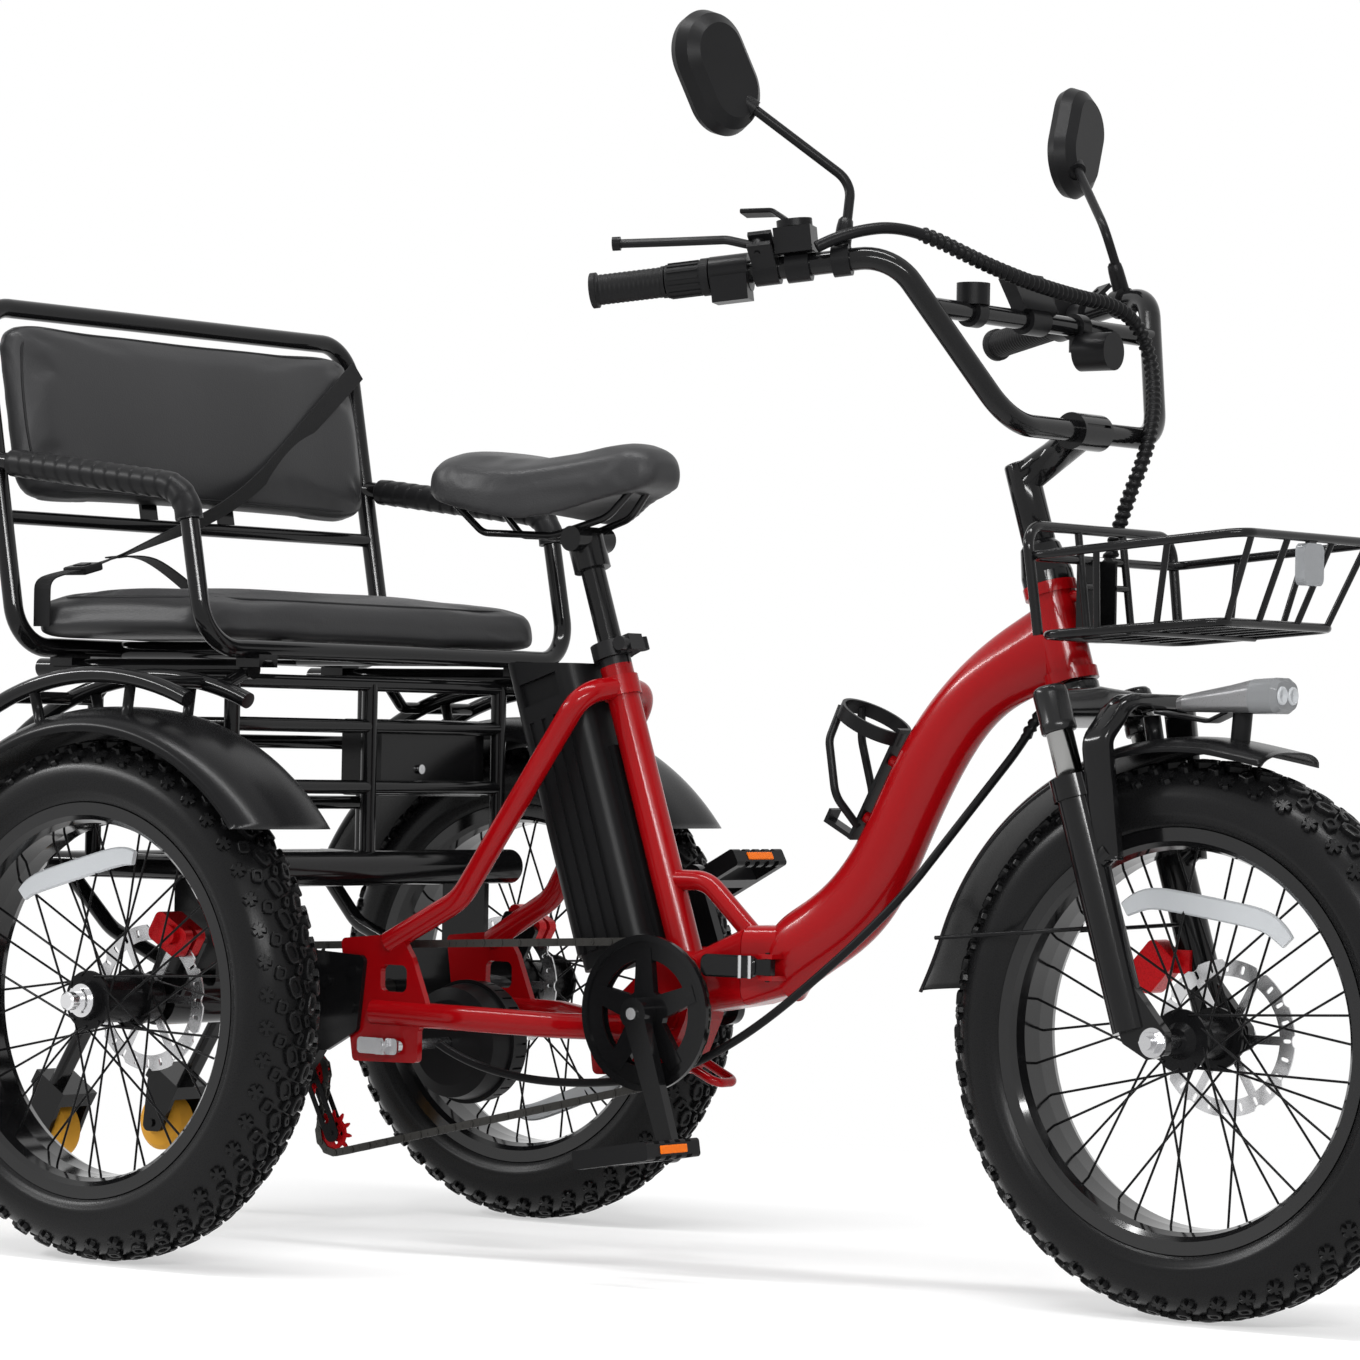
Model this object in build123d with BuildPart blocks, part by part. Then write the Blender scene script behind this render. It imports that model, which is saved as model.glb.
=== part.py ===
"""Electric cargo tricycle with fat tyres, a folding step-through frame and a passenger bench.

Sizes are millimetres. +X is forward, +Y is to the rider's left and +Z is up. The origin is on the
ground, under the middle of the whole machine.
"""

import os
from math import asin, atan2, cos, degrees, hypot, pi, radians, sin, tan

from build123d import *

# Driving dimensions
WHEELBASE = 1150.0
TRACK = 740.0
REAR_AXLE_X = -527.0
TYRE_R = 283.0
TYRE_W = 100.0
RIM_W = 82.4
RIM_R = 213.5
HEAD_LEAN = 17.0
SEAT_LEAN = 18.4
CRANK_LENGTH = 152.0
CRANK_FORWARD = 19.0
CHAIN_PITCH = 12.7
CHAIN_Y = 60.0
RING_TEETH = 38
COG_TEETH = 26
PULLEY_TEETH = 11
GAP = 0.4

MIN_END = (Align.CENTER, Align.CENTER, Align.MIN)
os.makedirs("parts", exist_ok=True)


def keep(part, name):
    """Label a finished piece and write it to its own file."""
    part.label = name
    export_step(part, f"parts/{name}.step")


def at(forward, left, up):
    """A point measured from the ground under the rear axle."""
    return (REAR_AXLE_X + forward, left, up)


def mirrored(points):
    """The same points on the other side of the machine."""
    return [(x, -y, z) for x, y, z in points]


def spin_plane(centre, angle=90.0):
    """Plane through a wheel axle: local x runs along the axle, local y points out at the angle."""
    turn = radians(angle)
    return Plane(origin=centre, x_dir=(0, 1, 0), z_dir=(sin(turn), 0, -cos(turn)))


def side_plane(y):
    """Upright plane parallel to the frame's middle, local x forward and local y up."""
    return Plane.XZ.offset(-y)


def rod(start, end, radius, mode=Mode.ADD):
    """A straight round bar between two points."""
    along = Vector(*end) - Vector(*start)
    with Locations(Plane(origin=start, z_dir=along).location):
        Cylinder(radius, along.length, align=MIN_END, mode=mode)


def tube(points, radius, bend):
    """A bent round tube: straight runs joined by arcs."""
    with BuildLine() as route:
        FilletPolyline(*points, radius=bend)
    with BuildSketch(Plane(origin=route.line @ 0, z_dir=route.line % 0)) as section:
        Circle(radius)
    sweep(sections=section.sketch, path=route.line)


def hoop(points, radius, bend):
    """A closed round tube through corner points, each corner an arc."""
    with BuildLine() as route:
        FilletPolyline(*points, radius=bend, close=True)
    with BuildSketch(Plane(origin=route.line @ 0, z_dir=route.line % 0)) as section:
        Circle(radius)
    sweep(sections=section.sketch, path=route.line)


def band(points, width, thickness, bend, flat_dir):
    """A bent flat bar, its wide side along flat_dir at the start."""
    with BuildLine() as route:
        FilletPolyline(*points, radius=bend)
    start = Plane(origin=route.line @ 0, x_dir=flat_dir, z_dir=route.line % 0)
    with BuildSketch(start) as section:
        RectangleRounded(width, thickness, thickness * 0.45)
    sweep(sections=section.sketch, path=route.line)


def sleeve(points, outer, inner, bend):
    """A hollow bent sleeve round a tube."""
    with BuildLine() as route:
        FilletPolyline(*points, radius=bend)
    with BuildSketch(Plane(origin=route.line @ 0, z_dir=route.line % 0)) as section:
        Circle(outer)
        Circle(inner, mode=Mode.SUBTRACT)
    sweep(sections=section.sketch, path=route.line)


def cable_bends(points):
    """The largest arc that fits each corner of a cable's route, and the route's length to compare."""
    bends = []
    for before, corner, after in zip(points, points[1:], points[2:]):
        way_in = Vector(*corner) - Vector(*before)
        way_out = Vector(*after) - Vector(*corner)
        half_turn = radians(way_in.get_angle(way_out)) / 2
        bends.append(0.45 * min(way_in.length, way_out.length) / tan(half_turn))
    return bends


def cable(points, radius):
    """A round cable along its route, each corner as wide an arc as its runs allow."""
    bends = cable_bends(points)
    print("cable radii", [round(bend) for bend in bends])
    tube(points, radius, bends)


def turned(centre, outline):
    """A turned piece on an axle along Y: outline is a list of (along the axle, radius)."""
    with BuildSketch(spin_plane(centre)) as profile:
        Polygon(*outline, align=None)
    revolve(profiles=profile.sketch, axis=Axis(centre, (0, 1, 0)))


# Wheels: the same tyre and rim three times
FRONT_AXLE = at(WHEELBASE, 0, TYRE_R)
WHEELS = {
    "front": FRONT_AXLE,
    "rear_right": at(0, -TRACK / 2, TYRE_R),
    "rear_left": at(0, TRACK / 2, TYRE_R),
}
TYRE_MID_R = 236.0
TYRE_WALL = 6.0
TREAD_T = 8.0
BEAD_R = 206.0
BEAD_HALF = 38.5
SPOKE_R = 1.3
SPOKE_COUNT = 36
SPOKE_CROSS = 60.0
FLANGE_R = 32.0
FLANGE_HOLE_R = 28.0
FLANGE_OUT = 33.0
ROTOR_R = 80.0
ROTOR_T = 2.0
AXLE_R = 7.0
SHAFT_R = 10.0

RIM_HALF_OUTLINE = [
    (0.0, 196.0),
    (24.0, 196.0),
    (27.0, BEAD_R - 0.2),
    (BEAD_HALF + 0.2, BEAD_R - 0.2),
    (BEAD_HALF + 0.2, RIM_R),
    (RIM_W / 2, RIM_R),
    (RIM_W / 2, 200.0),
    (36.0, 195.0),
    (26.0, 191.5),
    (0.0, 190.5),
]
SPOKE_END_R = 192.0

for wheel, centre in WHEELS.items():
    with BuildPart() as tyre:
        with BuildSketch(spin_plane(centre)):
            with Locations((0, TYRE_MID_R)):
                Ellipse(TYRE_W / 2, TYRE_R - TYRE_MID_R)
                Ellipse(TYRE_W / 2 - TYRE_WALL, TYRE_R - TYRE_MID_R - TREAD_T, mode=Mode.SUBTRACT)
            Rectangle(TYRE_W, 2 * BEAD_R, mode=Mode.SUBTRACT)
            for side in (-1, 1):
                with Locations((side * (BEAD_HALF + TYRE_W / 4), 0)):
                    Rectangle(TYRE_W / 2, 2 * (RIM_R + 0.3), mode=Mode.SUBTRACT)
        revolve(axis=Axis(centre, (0, 1, 0)))
    keep(tyre.part, f"{wheel}_tyre")

    with BuildPart() as rim:
        turned(centre, RIM_HALF_OUTLINE + [(-a, r) for a, r in reversed(RIM_HALF_OUTLINE[1:-1])])
    keep(rim.part, f"{wheel}_rim")


def lace(centre):
    """Add the spokes, crossed in pairs, between the hub flanges and the rim."""
    for lead in (-1, 1):
        places = []
        for i in range(SPOKE_COUNT):
            if ((i // 2) % 2 == 0) != (lead == 1):
                continue
            side = 1 if i % 2 == 0 else -1
            rim_turn = radians(360.0 * i / SPOKE_COUNT)
            hub_turn = rim_turn + lead * radians(SPOKE_CROSS)
            hub_end = Vector(*centre) + Vector(
                FLANGE_HOLE_R * cos(hub_turn),
                side * FLANGE_OUT + side * lead * 2.6,
                FLANGE_HOLE_R * sin(hub_turn),
            )
            rim_end = Vector(*centre) + Vector(
                SPOKE_END_R * cos(rim_turn), side * 8.0, SPOKE_END_R * sin(rim_turn)
            )
            places.append(Plane(origin=hub_end, z_dir=rim_end - hub_end).location)
            length = (rim_end - hub_end).length
        with Locations(*places):
            Cylinder(SPOKE_R, length, align=MIN_END)


def disc(axle_x, y, bore_r):
    """Add a wave-edged brake disc with six arms and vent slots."""
    with BuildSketch(side_plane(y)) as blank:
        with Locations((axle_x, TYRE_R)):
            Circle(ROTOR_R)
            with PolarLocations(ROTOR_R + 4.5, 12):
                Circle(8.0, mode=Mode.SUBTRACT)
            Circle(ROTOR_R - 17, mode=Mode.SUBTRACT)
            Circle(24.0)
            with PolarLocations(43.0, 6):
                Rectangle(46.0, 9.0)
            Circle(bore_r, mode=Mode.SUBTRACT)
            with PolarLocations(ROTOR_R - 8.5, 24):
                SlotOverall(9.0, 4.0, mode=Mode.SUBTRACT)
    extrude(to_extrude=blank.sketch, amount=ROTOR_T / 2, both=True)


# Hubs with their laced spokes and brake disc: the front one turns on a fixed axle, the rear ones
# carry their half shafts
ROTOR_FRONT_Y = 54.0
HOUSING_IN = 104.0
HOUSING_OUT = 298.0
ROTOR_REAR_Y = 307.0
SHAFT_END = 438.0
FRONT_HUB_OUTLINE = [
    (-44.0, AXLE_R + GAP),
    (-44.0, 13.0),
    (-38.0, 17.0),
    (-FLANGE_OUT - 2, 19.0),
    (-FLANGE_OUT - 2, FLANGE_R),
    (-FLANGE_OUT + 2, FLANGE_R),
    (-FLANGE_OUT + 2, 22.0),
    (0.0, 18.0),
    (FLANGE_OUT - 2, 22.0),
    (FLANGE_OUT - 2, FLANGE_R),
    (FLANGE_OUT + 2, FLANGE_R),
    (FLANGE_OUT + 2, 22.0),
    (53.0, 22.0),
    (53.0, AXLE_R + GAP),
]
with BuildPart() as front_hub:
    turned(FRONT_AXLE, FRONT_HUB_OUTLINE)
    lace(FRONT_AXLE)
    disc(FRONT_AXLE[0], ROTOR_FRONT_Y, AXLE_R + GAP)
keep(front_hub.part, "front_hub")

for side, wheel in ((-1, "rear_right"), (1, "rear_left")):
    middle = TRACK / 2
    outline = [
        (HOUSING_IN + 1.0, 0.0),
        (HOUSING_IN + 1.0, SHAFT_R),
        (ROTOR_REAR_Y + ROTOR_T / 2, SHAFT_R),
        (ROTOR_REAR_Y + ROTOR_T / 2, 26.0),
        (middle - FLANGE_OUT - 2, 30.0),
        (middle - FLANGE_OUT - 2, FLANGE_R),
        (middle - FLANGE_OUT + 2, FLANGE_R),
        (middle - FLANGE_OUT + 2, 26.0),
        (middle + FLANGE_OUT - 2, 24.0),
        (middle + FLANGE_OUT - 2, FLANGE_R),
        (middle + FLANGE_OUT + 2, FLANGE_R),
        (middle + FLANGE_OUT + 2, 22.0),
        (middle + FLANGE_OUT + 12, 20.0),
        (middle + FLANGE_OUT + 12, 14.0),
        (422.0, 14.0),
        (422.0, SHAFT_R),
        (SHAFT_END - 2, SHAFT_R),
        (SHAFT_END, SHAFT_R - 2),
        (SHAFT_END, 0.0),
    ]
    with BuildPart() as rear_hub:
        turned(at(0, 0, TYRE_R), [(side * a, r) for a, r in outline])
        with BuildSketch(side_plane(side * 418.0)) as nut:
            with Locations((REAR_AXLE_X, TYRE_R)):
                RegularPolygon(15.0, 6)
        extrude(to_extrude=nut.sketch, amount=5.0, both=True)
        lace(WHEELS[wheel])
        disc(REAR_AXLE_X, side * ROTOR_REAR_Y, SHAFT_R - 1)
    keep(rear_hub.part, f"{wheel}_hub")

# Frames of reference on the machine: steering axis and seat tube
LEAN = radians(HEAD_LEAN)
STEER = Plane(
    origin=at(993, 0, 641), x_dir=(cos(LEAN), 0, sin(LEAN)), z_dir=(-sin(LEAN), 0, cos(LEAN))
)
SEAT_TILT = radians(SEAT_LEAN)
SEAT = Plane(
    origin=at(500, 0, 353),
    x_dir=(cos(SEAT_TILT), 0, sin(SEAT_TILT)),
    z_dir=(-sin(SEAT_TILT), 0, cos(SEAT_TILT)),
)


def fork(forward, left, up):
    """A point in the steering frame, whose up runs along the steering axis."""
    return tuple(STEER.from_local_coords(Vector(forward, left, up)))


def post(forward, left, up):
    """A point in the seat tube's frame, whose up runs along the seat tube."""
    return tuple(SEAT.from_local_coords(Vector(forward, left, up)))


# Rear frame: seat tube, stays, dropouts, bottom bracket box and the rear half of the fold hinge
BB = at(500, 0, 282)
BB_SHELL_R = 21.0
SEAT_TUBE_R = 18.0
SEAT_TUBE_LENGTH = 345.0
POST_R = 13.6
COLLAR_R = 23.0
COLLAR_AT = SEAT_TUBE_LENGTH - 18
STAY_R = 12.5
CHAINSTAY_R = 14.0
DROPOUT_Y = 92.0
DROPOUT_T = 8.0
HINGE_X = 608.0
HINGE_LOW = 294.0
HINGE_HIGH = 379.0
HINGE_HALF = 44.0
PIN_Y = 46.0
PIN_R = 4.0
KNUCKLE_R = 9.0
KNUCKLE_SPLIT = (319.0, 354.0)
MOTOR_AXLE = at(163, 0, 231)
MOTOR_AXLE_R = 6.0

SEAT_STAY = [at(408, -10, 632), at(398, -58, 625), at(252, -82, 396), at(158, -91, 345)]
CHAINSTAY = [at(140, -92, 268), at(262, -90, 266), at(352, -42, 261), at(450, -32, 262)]
GUSSET = [at(470, 0, 424), at(530, 0, 424), at(597, 0, 364)]

with BuildPart() as rear_frame:
    rod(post(0, 0, -40), post(0, 0, SEAT_TUBE_LENGTH), SEAT_TUBE_R)
    rod(post(0, 0, SEAT_TUBE_LENGTH - 62), post(0, 0, SEAT_TUBE_LENGTH - 40), SEAT_TUBE_R + 3)
    tube(SEAT_STAY, STAY_R, [34.0, 60.0])
    tube(mirrored(SEAT_STAY), STAY_R, [34.0, 60.0])
    tube(CHAINSTAY, CHAINSTAY_R, [60.0, 80.0])
    tube(mirrored(CHAINSTAY), CHAINSTAY_R, [60.0, 80.0])
    tube(GUSSET, 11.0, 40.0)
    for side in (-1, 1):
        with BuildSketch(side_plane(side * DROPOUT_Y)) as dropout:
            with BuildLine():
                Polyline(
                    (REAR_AXLE_X + 92, 348),
                    (REAR_AXLE_X + 178, 356),
                    (REAR_AXLE_X + 196, 330),
                    (REAR_AXLE_X + 222, 268),
                    (REAR_AXLE_X + 206, 250),
                    (REAR_AXLE_X + 206, 214),
                    (REAR_AXLE_X + 112, 212),
                    (REAR_AXLE_X + 104, 262),
                    close=True,
                )
            make_face()
            fillet(dropout.vertices(), 6.0)
            with Locations((REAR_AXLE_X + 170, 306)):
                RectangleRounded(38.0, 30.0, 8.0, mode=Mode.SUBTRACT)
            with Locations((REAR_AXLE_X + 163, 231)):
                SlotOverall(44.0, 2 * MOTOR_AXLE_R + 0.6, mode=Mode.SUBTRACT)
        extrude(to_extrude=dropout.sketch, amount=DROPOUT_T / 2, both=True)
    with BuildSketch(side_plane(0)) as box_side:
        with BuildLine():
            Polyline(
                (REAR_AXLE_X + 392, 288),
                (REAR_AXLE_X + 440, 300),
                (REAR_AXLE_X + 500, 352),
                (REAR_AXLE_X + 545, 340),
                (REAR_AXLE_X + 528, 274),
                (REAR_AXLE_X + 500, 214),
                (REAR_AXLE_X + 404, 210),
                close=True,
            )
        make_face()
        fillet(box_side.vertices(), 7.0)
    extrude(to_extrude=box_side.sketch, amount=34.0, both=True)
    with Locations(at(452, 0, 214)):
        with GridLocations(26.0, 1.0, 3, 1):
            Box(18.0, 74.0, 5.0, mode=Mode.SUBTRACT)
    with Locations(Location(BB, (90, 0, 0))):
        Cylinder(BB_SHELL_R, 78.0)
        Cylinder(11.0, 90.0, mode=Mode.SUBTRACT)
    with BuildSketch(Plane(origin=at(HINGE_X - GAP, 0, 0), x_dir=(0, 1, 0), z_dir=(1, 0, 0))) as face:
        with Locations((-5.0, (HINGE_LOW + HINGE_HIGH) / 2)):
            RectangleRounded(2 * HINGE_HALF - 12, HINGE_HIGH - HINGE_LOW, 18.0)
    with BuildSketch(Plane(origin=at(522, 0, 0), x_dir=(0, 1, 0), z_dir=(1, 0, 0))) as neck:
        with Locations((0.0, 312.0)):
            RectangleRounded(60.0, 66.0, 18.0)
    loft(sections=[neck.sketch, face.sketch], ruled=True)
    for low, high in ((HINGE_LOW + 6, KNUCKLE_SPLIT[0] - GAP), (KNUCKLE_SPLIT[1] + GAP, HINGE_HIGH - 6)):
        rod(at(HINGE_X, PIN_Y, low), at(HINGE_X, PIN_Y, high), KNUCKLE_R)
        with Locations(at(HINGE_X - GAP - 4.3, PIN_Y - 8, (low + high) / 2)):
            Box(8.6, 16.0, high - low)
    rod(at(HINGE_X, PIN_Y, HINGE_LOW), at(HINGE_X, PIN_Y, HINGE_HIGH), PIN_R, mode=Mode.SUBTRACT)
    loop = [at(494, -18, 238), at(560, -18, 208), at(560, 18, 208), at(494, 18, 238)]
    tube(loop, 5.0, [12.0, 12.0])
    rod(post(0, 0, COLLAR_AT), post(0, 0, SEAT_TUBE_LENGTH), COLLAR_R)
    ears = Plane(origin=post(25, 0, COLLAR_AT + 9), z_dir=SEAT.z_dir, x_dir=SEAT.x_dir)
    with Locations(ears.location):
        Box(20.0, 24.0, 18.0)
    rod(post(27, -22, COLLAR_AT + 9), post(27, -10, COLLAR_AT + 9), 8.0)
    rod(post(27, -22, COLLAR_AT + 9), post(27, 16, COLLAR_AT + 9), 3.5)
    rod(post(0, 0, 20), post(0, 0, SEAT_TUBE_LENGTH + 1), POST_R + GAP, mode=Mode.SUBTRACT)
    slit = Plane(origin=post(20, 0, SEAT_TUBE_LENGTH - 14), z_dir=SEAT.z_dir, x_dir=SEAT.x_dir)
    with Locations(slit.location):
        Box(11.0, 3.0, 30.0, mode=Mode.SUBTRACT)
keep(rear_frame.part, "rear_frame")

with BuildPart() as fold_pin:
    rod(at(HINGE_X, PIN_Y, HINGE_LOW + 1), at(HINGE_X, PIN_Y, HINGE_HIGH + 3), PIN_R)
    rod(at(HINGE_X, PIN_Y, HINGE_HIGH - 6 + 0.2), at(HINGE_X, PIN_Y, HINGE_HIGH + 3), PIN_R + 3)
keep(fold_pin.part, "fold_pin")

# Front frame: lofted S-shaped main tube, head tube and the front half of the fold hinge
MAIN_ROUTE = [
    at(HINGE_X + 3, 0, 337),
    at(654, 0, 340),
    at(752, 0, 430),
    at(824, 0, 568),
    at(880, 0, 635),
    at(975, 0, 685),
]
HEAD_R = 25.0
HEAD_LENGTH = 105.0
STEERER_R = 14.0
BASKET_BACK = 1008.0
CAGE_AXIS = Plane(origin=at(724, 0, 557), x_dir=(0.884, 0, -0.468), z_dir=(0.468, 0, 0.884))
CAGE_R = 38.0
CAGE_BOSSES = (-46.0, 22.0)

with BuildLine() as main_route:
    FilletPolyline(*MAIN_ROUTE, radius=[80.0, 230.0, 260.0, 160.0])
with BuildPart() as front_frame:
    main_sections = []
    for share, high, wide in (
        (0.06, 86.0, 70.0),
        (0.20, 80.0, 64.0),
        (0.38, 75.0, 62.0),
        (0.55, 72.0, 62.0),
        (0.70, 70.0, 62.0),
        (0.85, 74.0, 58.0),
        (0.94, 82.0, 51.0),
        (1.0, 86.0, 47.0),
    ):
        station = Plane(
            origin=main_route.line @ share, x_dir=(0, 1, 0), z_dir=main_route.line % share
        )
        with BuildSketch(station) as ring:
            Ellipse(wide / 2, high / 2)
        main_sections.append(ring.sketch)
    loft(sections=main_sections)
    with BuildSketch(Plane(origin=at(HINGE_X + GAP, 0, 0), x_dir=(0, 1, 0), z_dir=(1, 0, 0))) as plate:
        with Locations((-5.0, (HINGE_LOW + HINGE_HIGH) / 2)):
            RectangleRounded(2 * HINGE_HALF - 12, HINGE_HIGH - HINGE_LOW, 18.0)
    with BuildSketch(Plane(origin=at(HINGE_X + 42, 0, 0), x_dir=(0, 1, 0), z_dir=(1, 0, 0))) as collar:
        with Locations((0.0, 343.0)):
            RectangleRounded(58.0, 74.0, 18.0)
    loft(sections=[plate.sketch, collar.sketch], ruled=True)
    rod(
        at(HINGE_X, PIN_Y, KNUCKLE_SPLIT[0]), at(HINGE_X, PIN_Y, KNUCKLE_SPLIT[1]), KNUCKLE_R
    )
    with Locations(at(HINGE_X + GAP + 4.3, PIN_Y - 8, sum(KNUCKLE_SPLIT) / 2)):
        Box(8.6, 16.0, KNUCKLE_SPLIT[1] - KNUCKLE_SPLIT[0])
    rod(
        at(HINGE_X, PIN_Y, HINGE_LOW), at(HINGE_X, PIN_Y, HINGE_HIGH), PIN_R + GAP, mode=Mode.SUBTRACT
    )
    for z_ear in (325.0, 348.0):
        with Locations(at(648, -37.3, z_ear)):
            Box(18.0, 32.6, 5.0)
    rod(fork(0, 0, 0), fork(0, 0, HEAD_LENGTH), HEAD_R)
    rod(fork(0, 0, 0), fork(0, 0, 12), HEAD_R + 3)
    rod(fork(0, 0, HEAD_LENGTH - 12), fork(0, 0, HEAD_LENGTH), HEAD_R + 3)
    for forward, up in ((975, 700), (966, 730)):
        rod(at(forward, 0, up), at(BASKET_BACK, 0, up), 6.0)
    for height in CAGE_BOSSES:
        rod(
            tuple(CAGE_AXIS.from_local_coords(Vector(CAGE_R + 1.6, 0, height))),
            tuple(CAGE_AXIS.from_local_coords(Vector(CAGE_R + 24, 0, height))),
            6.0,
        )
    rod(fork(0, 0, -1), fork(0, 0, HEAD_LENGTH + 1), STEERER_R + 3, mode=Mode.SUBTRACT)
    rod(at(648, -49, 320), at(648, -49, 353), 3.0, mode=Mode.SUBTRACT)
keep(front_frame.part, "front_frame")

# Fold latch: a lever on the right that locks the hinge
LATCH_PIVOT = at(648, -49, 336.5)
BLADE_HIGH = 24.0
with BuildPart() as fold_latch:
    with BuildSketch(Plane.XY.offset(328.2)) as root:
        with BuildLine():
            Polyline(
                (LATCH_PIVOT[0] + 7, LATCH_PIVOT[1] - 5),
                (LATCH_PIVOT[0] - 9, LATCH_PIVOT[1] - 10),
                (LATCH_PIVOT[0] - 40, LATCH_PIVOT[1] - 10),
                (LATCH_PIVOT[0] - 40, LATCH_PIVOT[1] - 4),
                (LATCH_PIVOT[0] - 8, LATCH_PIVOT[1] + 5),
                (LATCH_PIVOT[0] + 7, LATCH_PIVOT[1] + 5),
                close=True,
            )
        make_face()
        fillet(root.vertices(), 1.5)
    extrude(to_extrude=root.sketch, amount=16.6)
    blade_face = Plane(
        origin=(LATCH_PIVOT[0], LATCH_PIVOT[1] - 6, LATCH_PIVOT[2]), x_dir=(1, 0, 0), z_dir=(0, -1, 0)
    )
    with BuildSketch(blade_face) as blade:
        with Locations((-44.0, 0.0)):
            RectangleRounded(72.0, BLADE_HIGH, 9.0)
    extrude(to_extrude=blade.sketch, amount=8.0)
    chamfer(fold_latch.faces().sort_by(Axis.Y)[0].edges(), 2.0)
    for back in (14.0, 27.0):
        pin_at = LATCH_PIVOT[0] - back
        rod(
            (pin_at, LATCH_PIVOT[1] - 13, LATCH_PIVOT[2] - BLADE_HIGH / 2),
            (pin_at, LATCH_PIVOT[1] - 13, LATCH_PIVOT[2] + BLADE_HIGH / 2),
            2.6,
        )
    rod(at(648, -49, 321), at(648, -49, 352), 2.6)
keep(fold_latch.part, "fold_latch")

# Seat: quick-release lever, seatpost with its clamp and rails, and the saddle
with BuildPart() as seat_lever:
    rod(post(27, 22, COLLAR_AT + 2), post(27, 22, COLLAR_AT + 16), 5.6)
    band(
        [post(27, 23, COLLAR_AT + 9), post(5, 31, COLLAR_AT + 9), post(-24, 34, COLLAR_AT + 9)],
        11.0,
        5.0,
        30.0,
        SEAT.z_dir,
    )
keep(seat_lever.part, "seat_lever")

POST_TOP = 452.0
SADDLE_RAIL_Z = 806.0
with BuildPart() as seatpost:
    rod(post(0, 0, 190), post(0, 0, POST_TOP), POST_R)
    rod(post(0, 0, POST_TOP - 22), post(0, 0, POST_TOP + 14), POST_R + 7)
    rod(post(4, -32, POST_TOP + 12), post(4, 32, POST_TOP + 12), 14.0)
    for side in (-1, 1):
        rail = [
            at(190, side * 40, 842),
            at(235, side * 34, SADDLE_RAIL_Z - 4),
            at(330, side * 27, SADDLE_RAIL_Z - 8),
            at(400, side * 20, SADDLE_RAIL_Z + 12),
            at(432, side * 14, 852),
        ]
        tube(rail, 4.0, [22.0, 60.0, 40.0])
keep(seatpost.part, "seatpost")

# Saddle stations: forward, underside, top, half width, and how far the skirts hang
SADDLE_STATIONS = [
    (150.0, 846.0, 876.0, 66.0, 2.0),
    (166.0, 836.0, 888.0, 92.0, 4.0),
    (200.0, 832.0, 892.0, 103.0, 6.0),
    (245.0, 836.0, 890.0, 97.0, 8.0),
    (300.0, 842.0, 886.0, 66.0, 6.0),
    (360.0, 848.0, 890.0, 44.0, 4.0),
    (420.0, 850.0, 894.0, 37.0, 4.0),
    (446.0, 854.0, 890.0, 31.0, 3.0),
    (454.0, 862.0, 880.0, 20.0, 2.0),
]
with BuildPart() as saddle:
    saddle_sections = []
    for forward, low, high, half, skirt in SADDLE_STATIONS:
        middle = low + 0.42 * (high - low)
        with BuildSketch(
            Plane(origin=at(forward, 0, 0), x_dir=(0, 1, 0), z_dir=(1, 0, 0))
        ) as cut:
            with BuildLine():
                ThreePointArc((-half * 0.86, low - skirt), (0, low), (half * 0.86, low - skirt))
                ThreePointArc((half * 0.86, low - skirt), (half, middle - 8), (half * 0.94, middle + 4))
                ThreePointArc((half * 0.94, middle + 4), (0, high), (-half * 0.94, middle + 4))
                ThreePointArc((-half * 0.94, middle + 4), (-half, middle - 8), (-half * 0.86, low - skirt))
            make_face()
        saddle_sections.append(cut.sketch)
    loft(sections=saddle_sections)
keep(saddle.part, "saddle")

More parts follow.
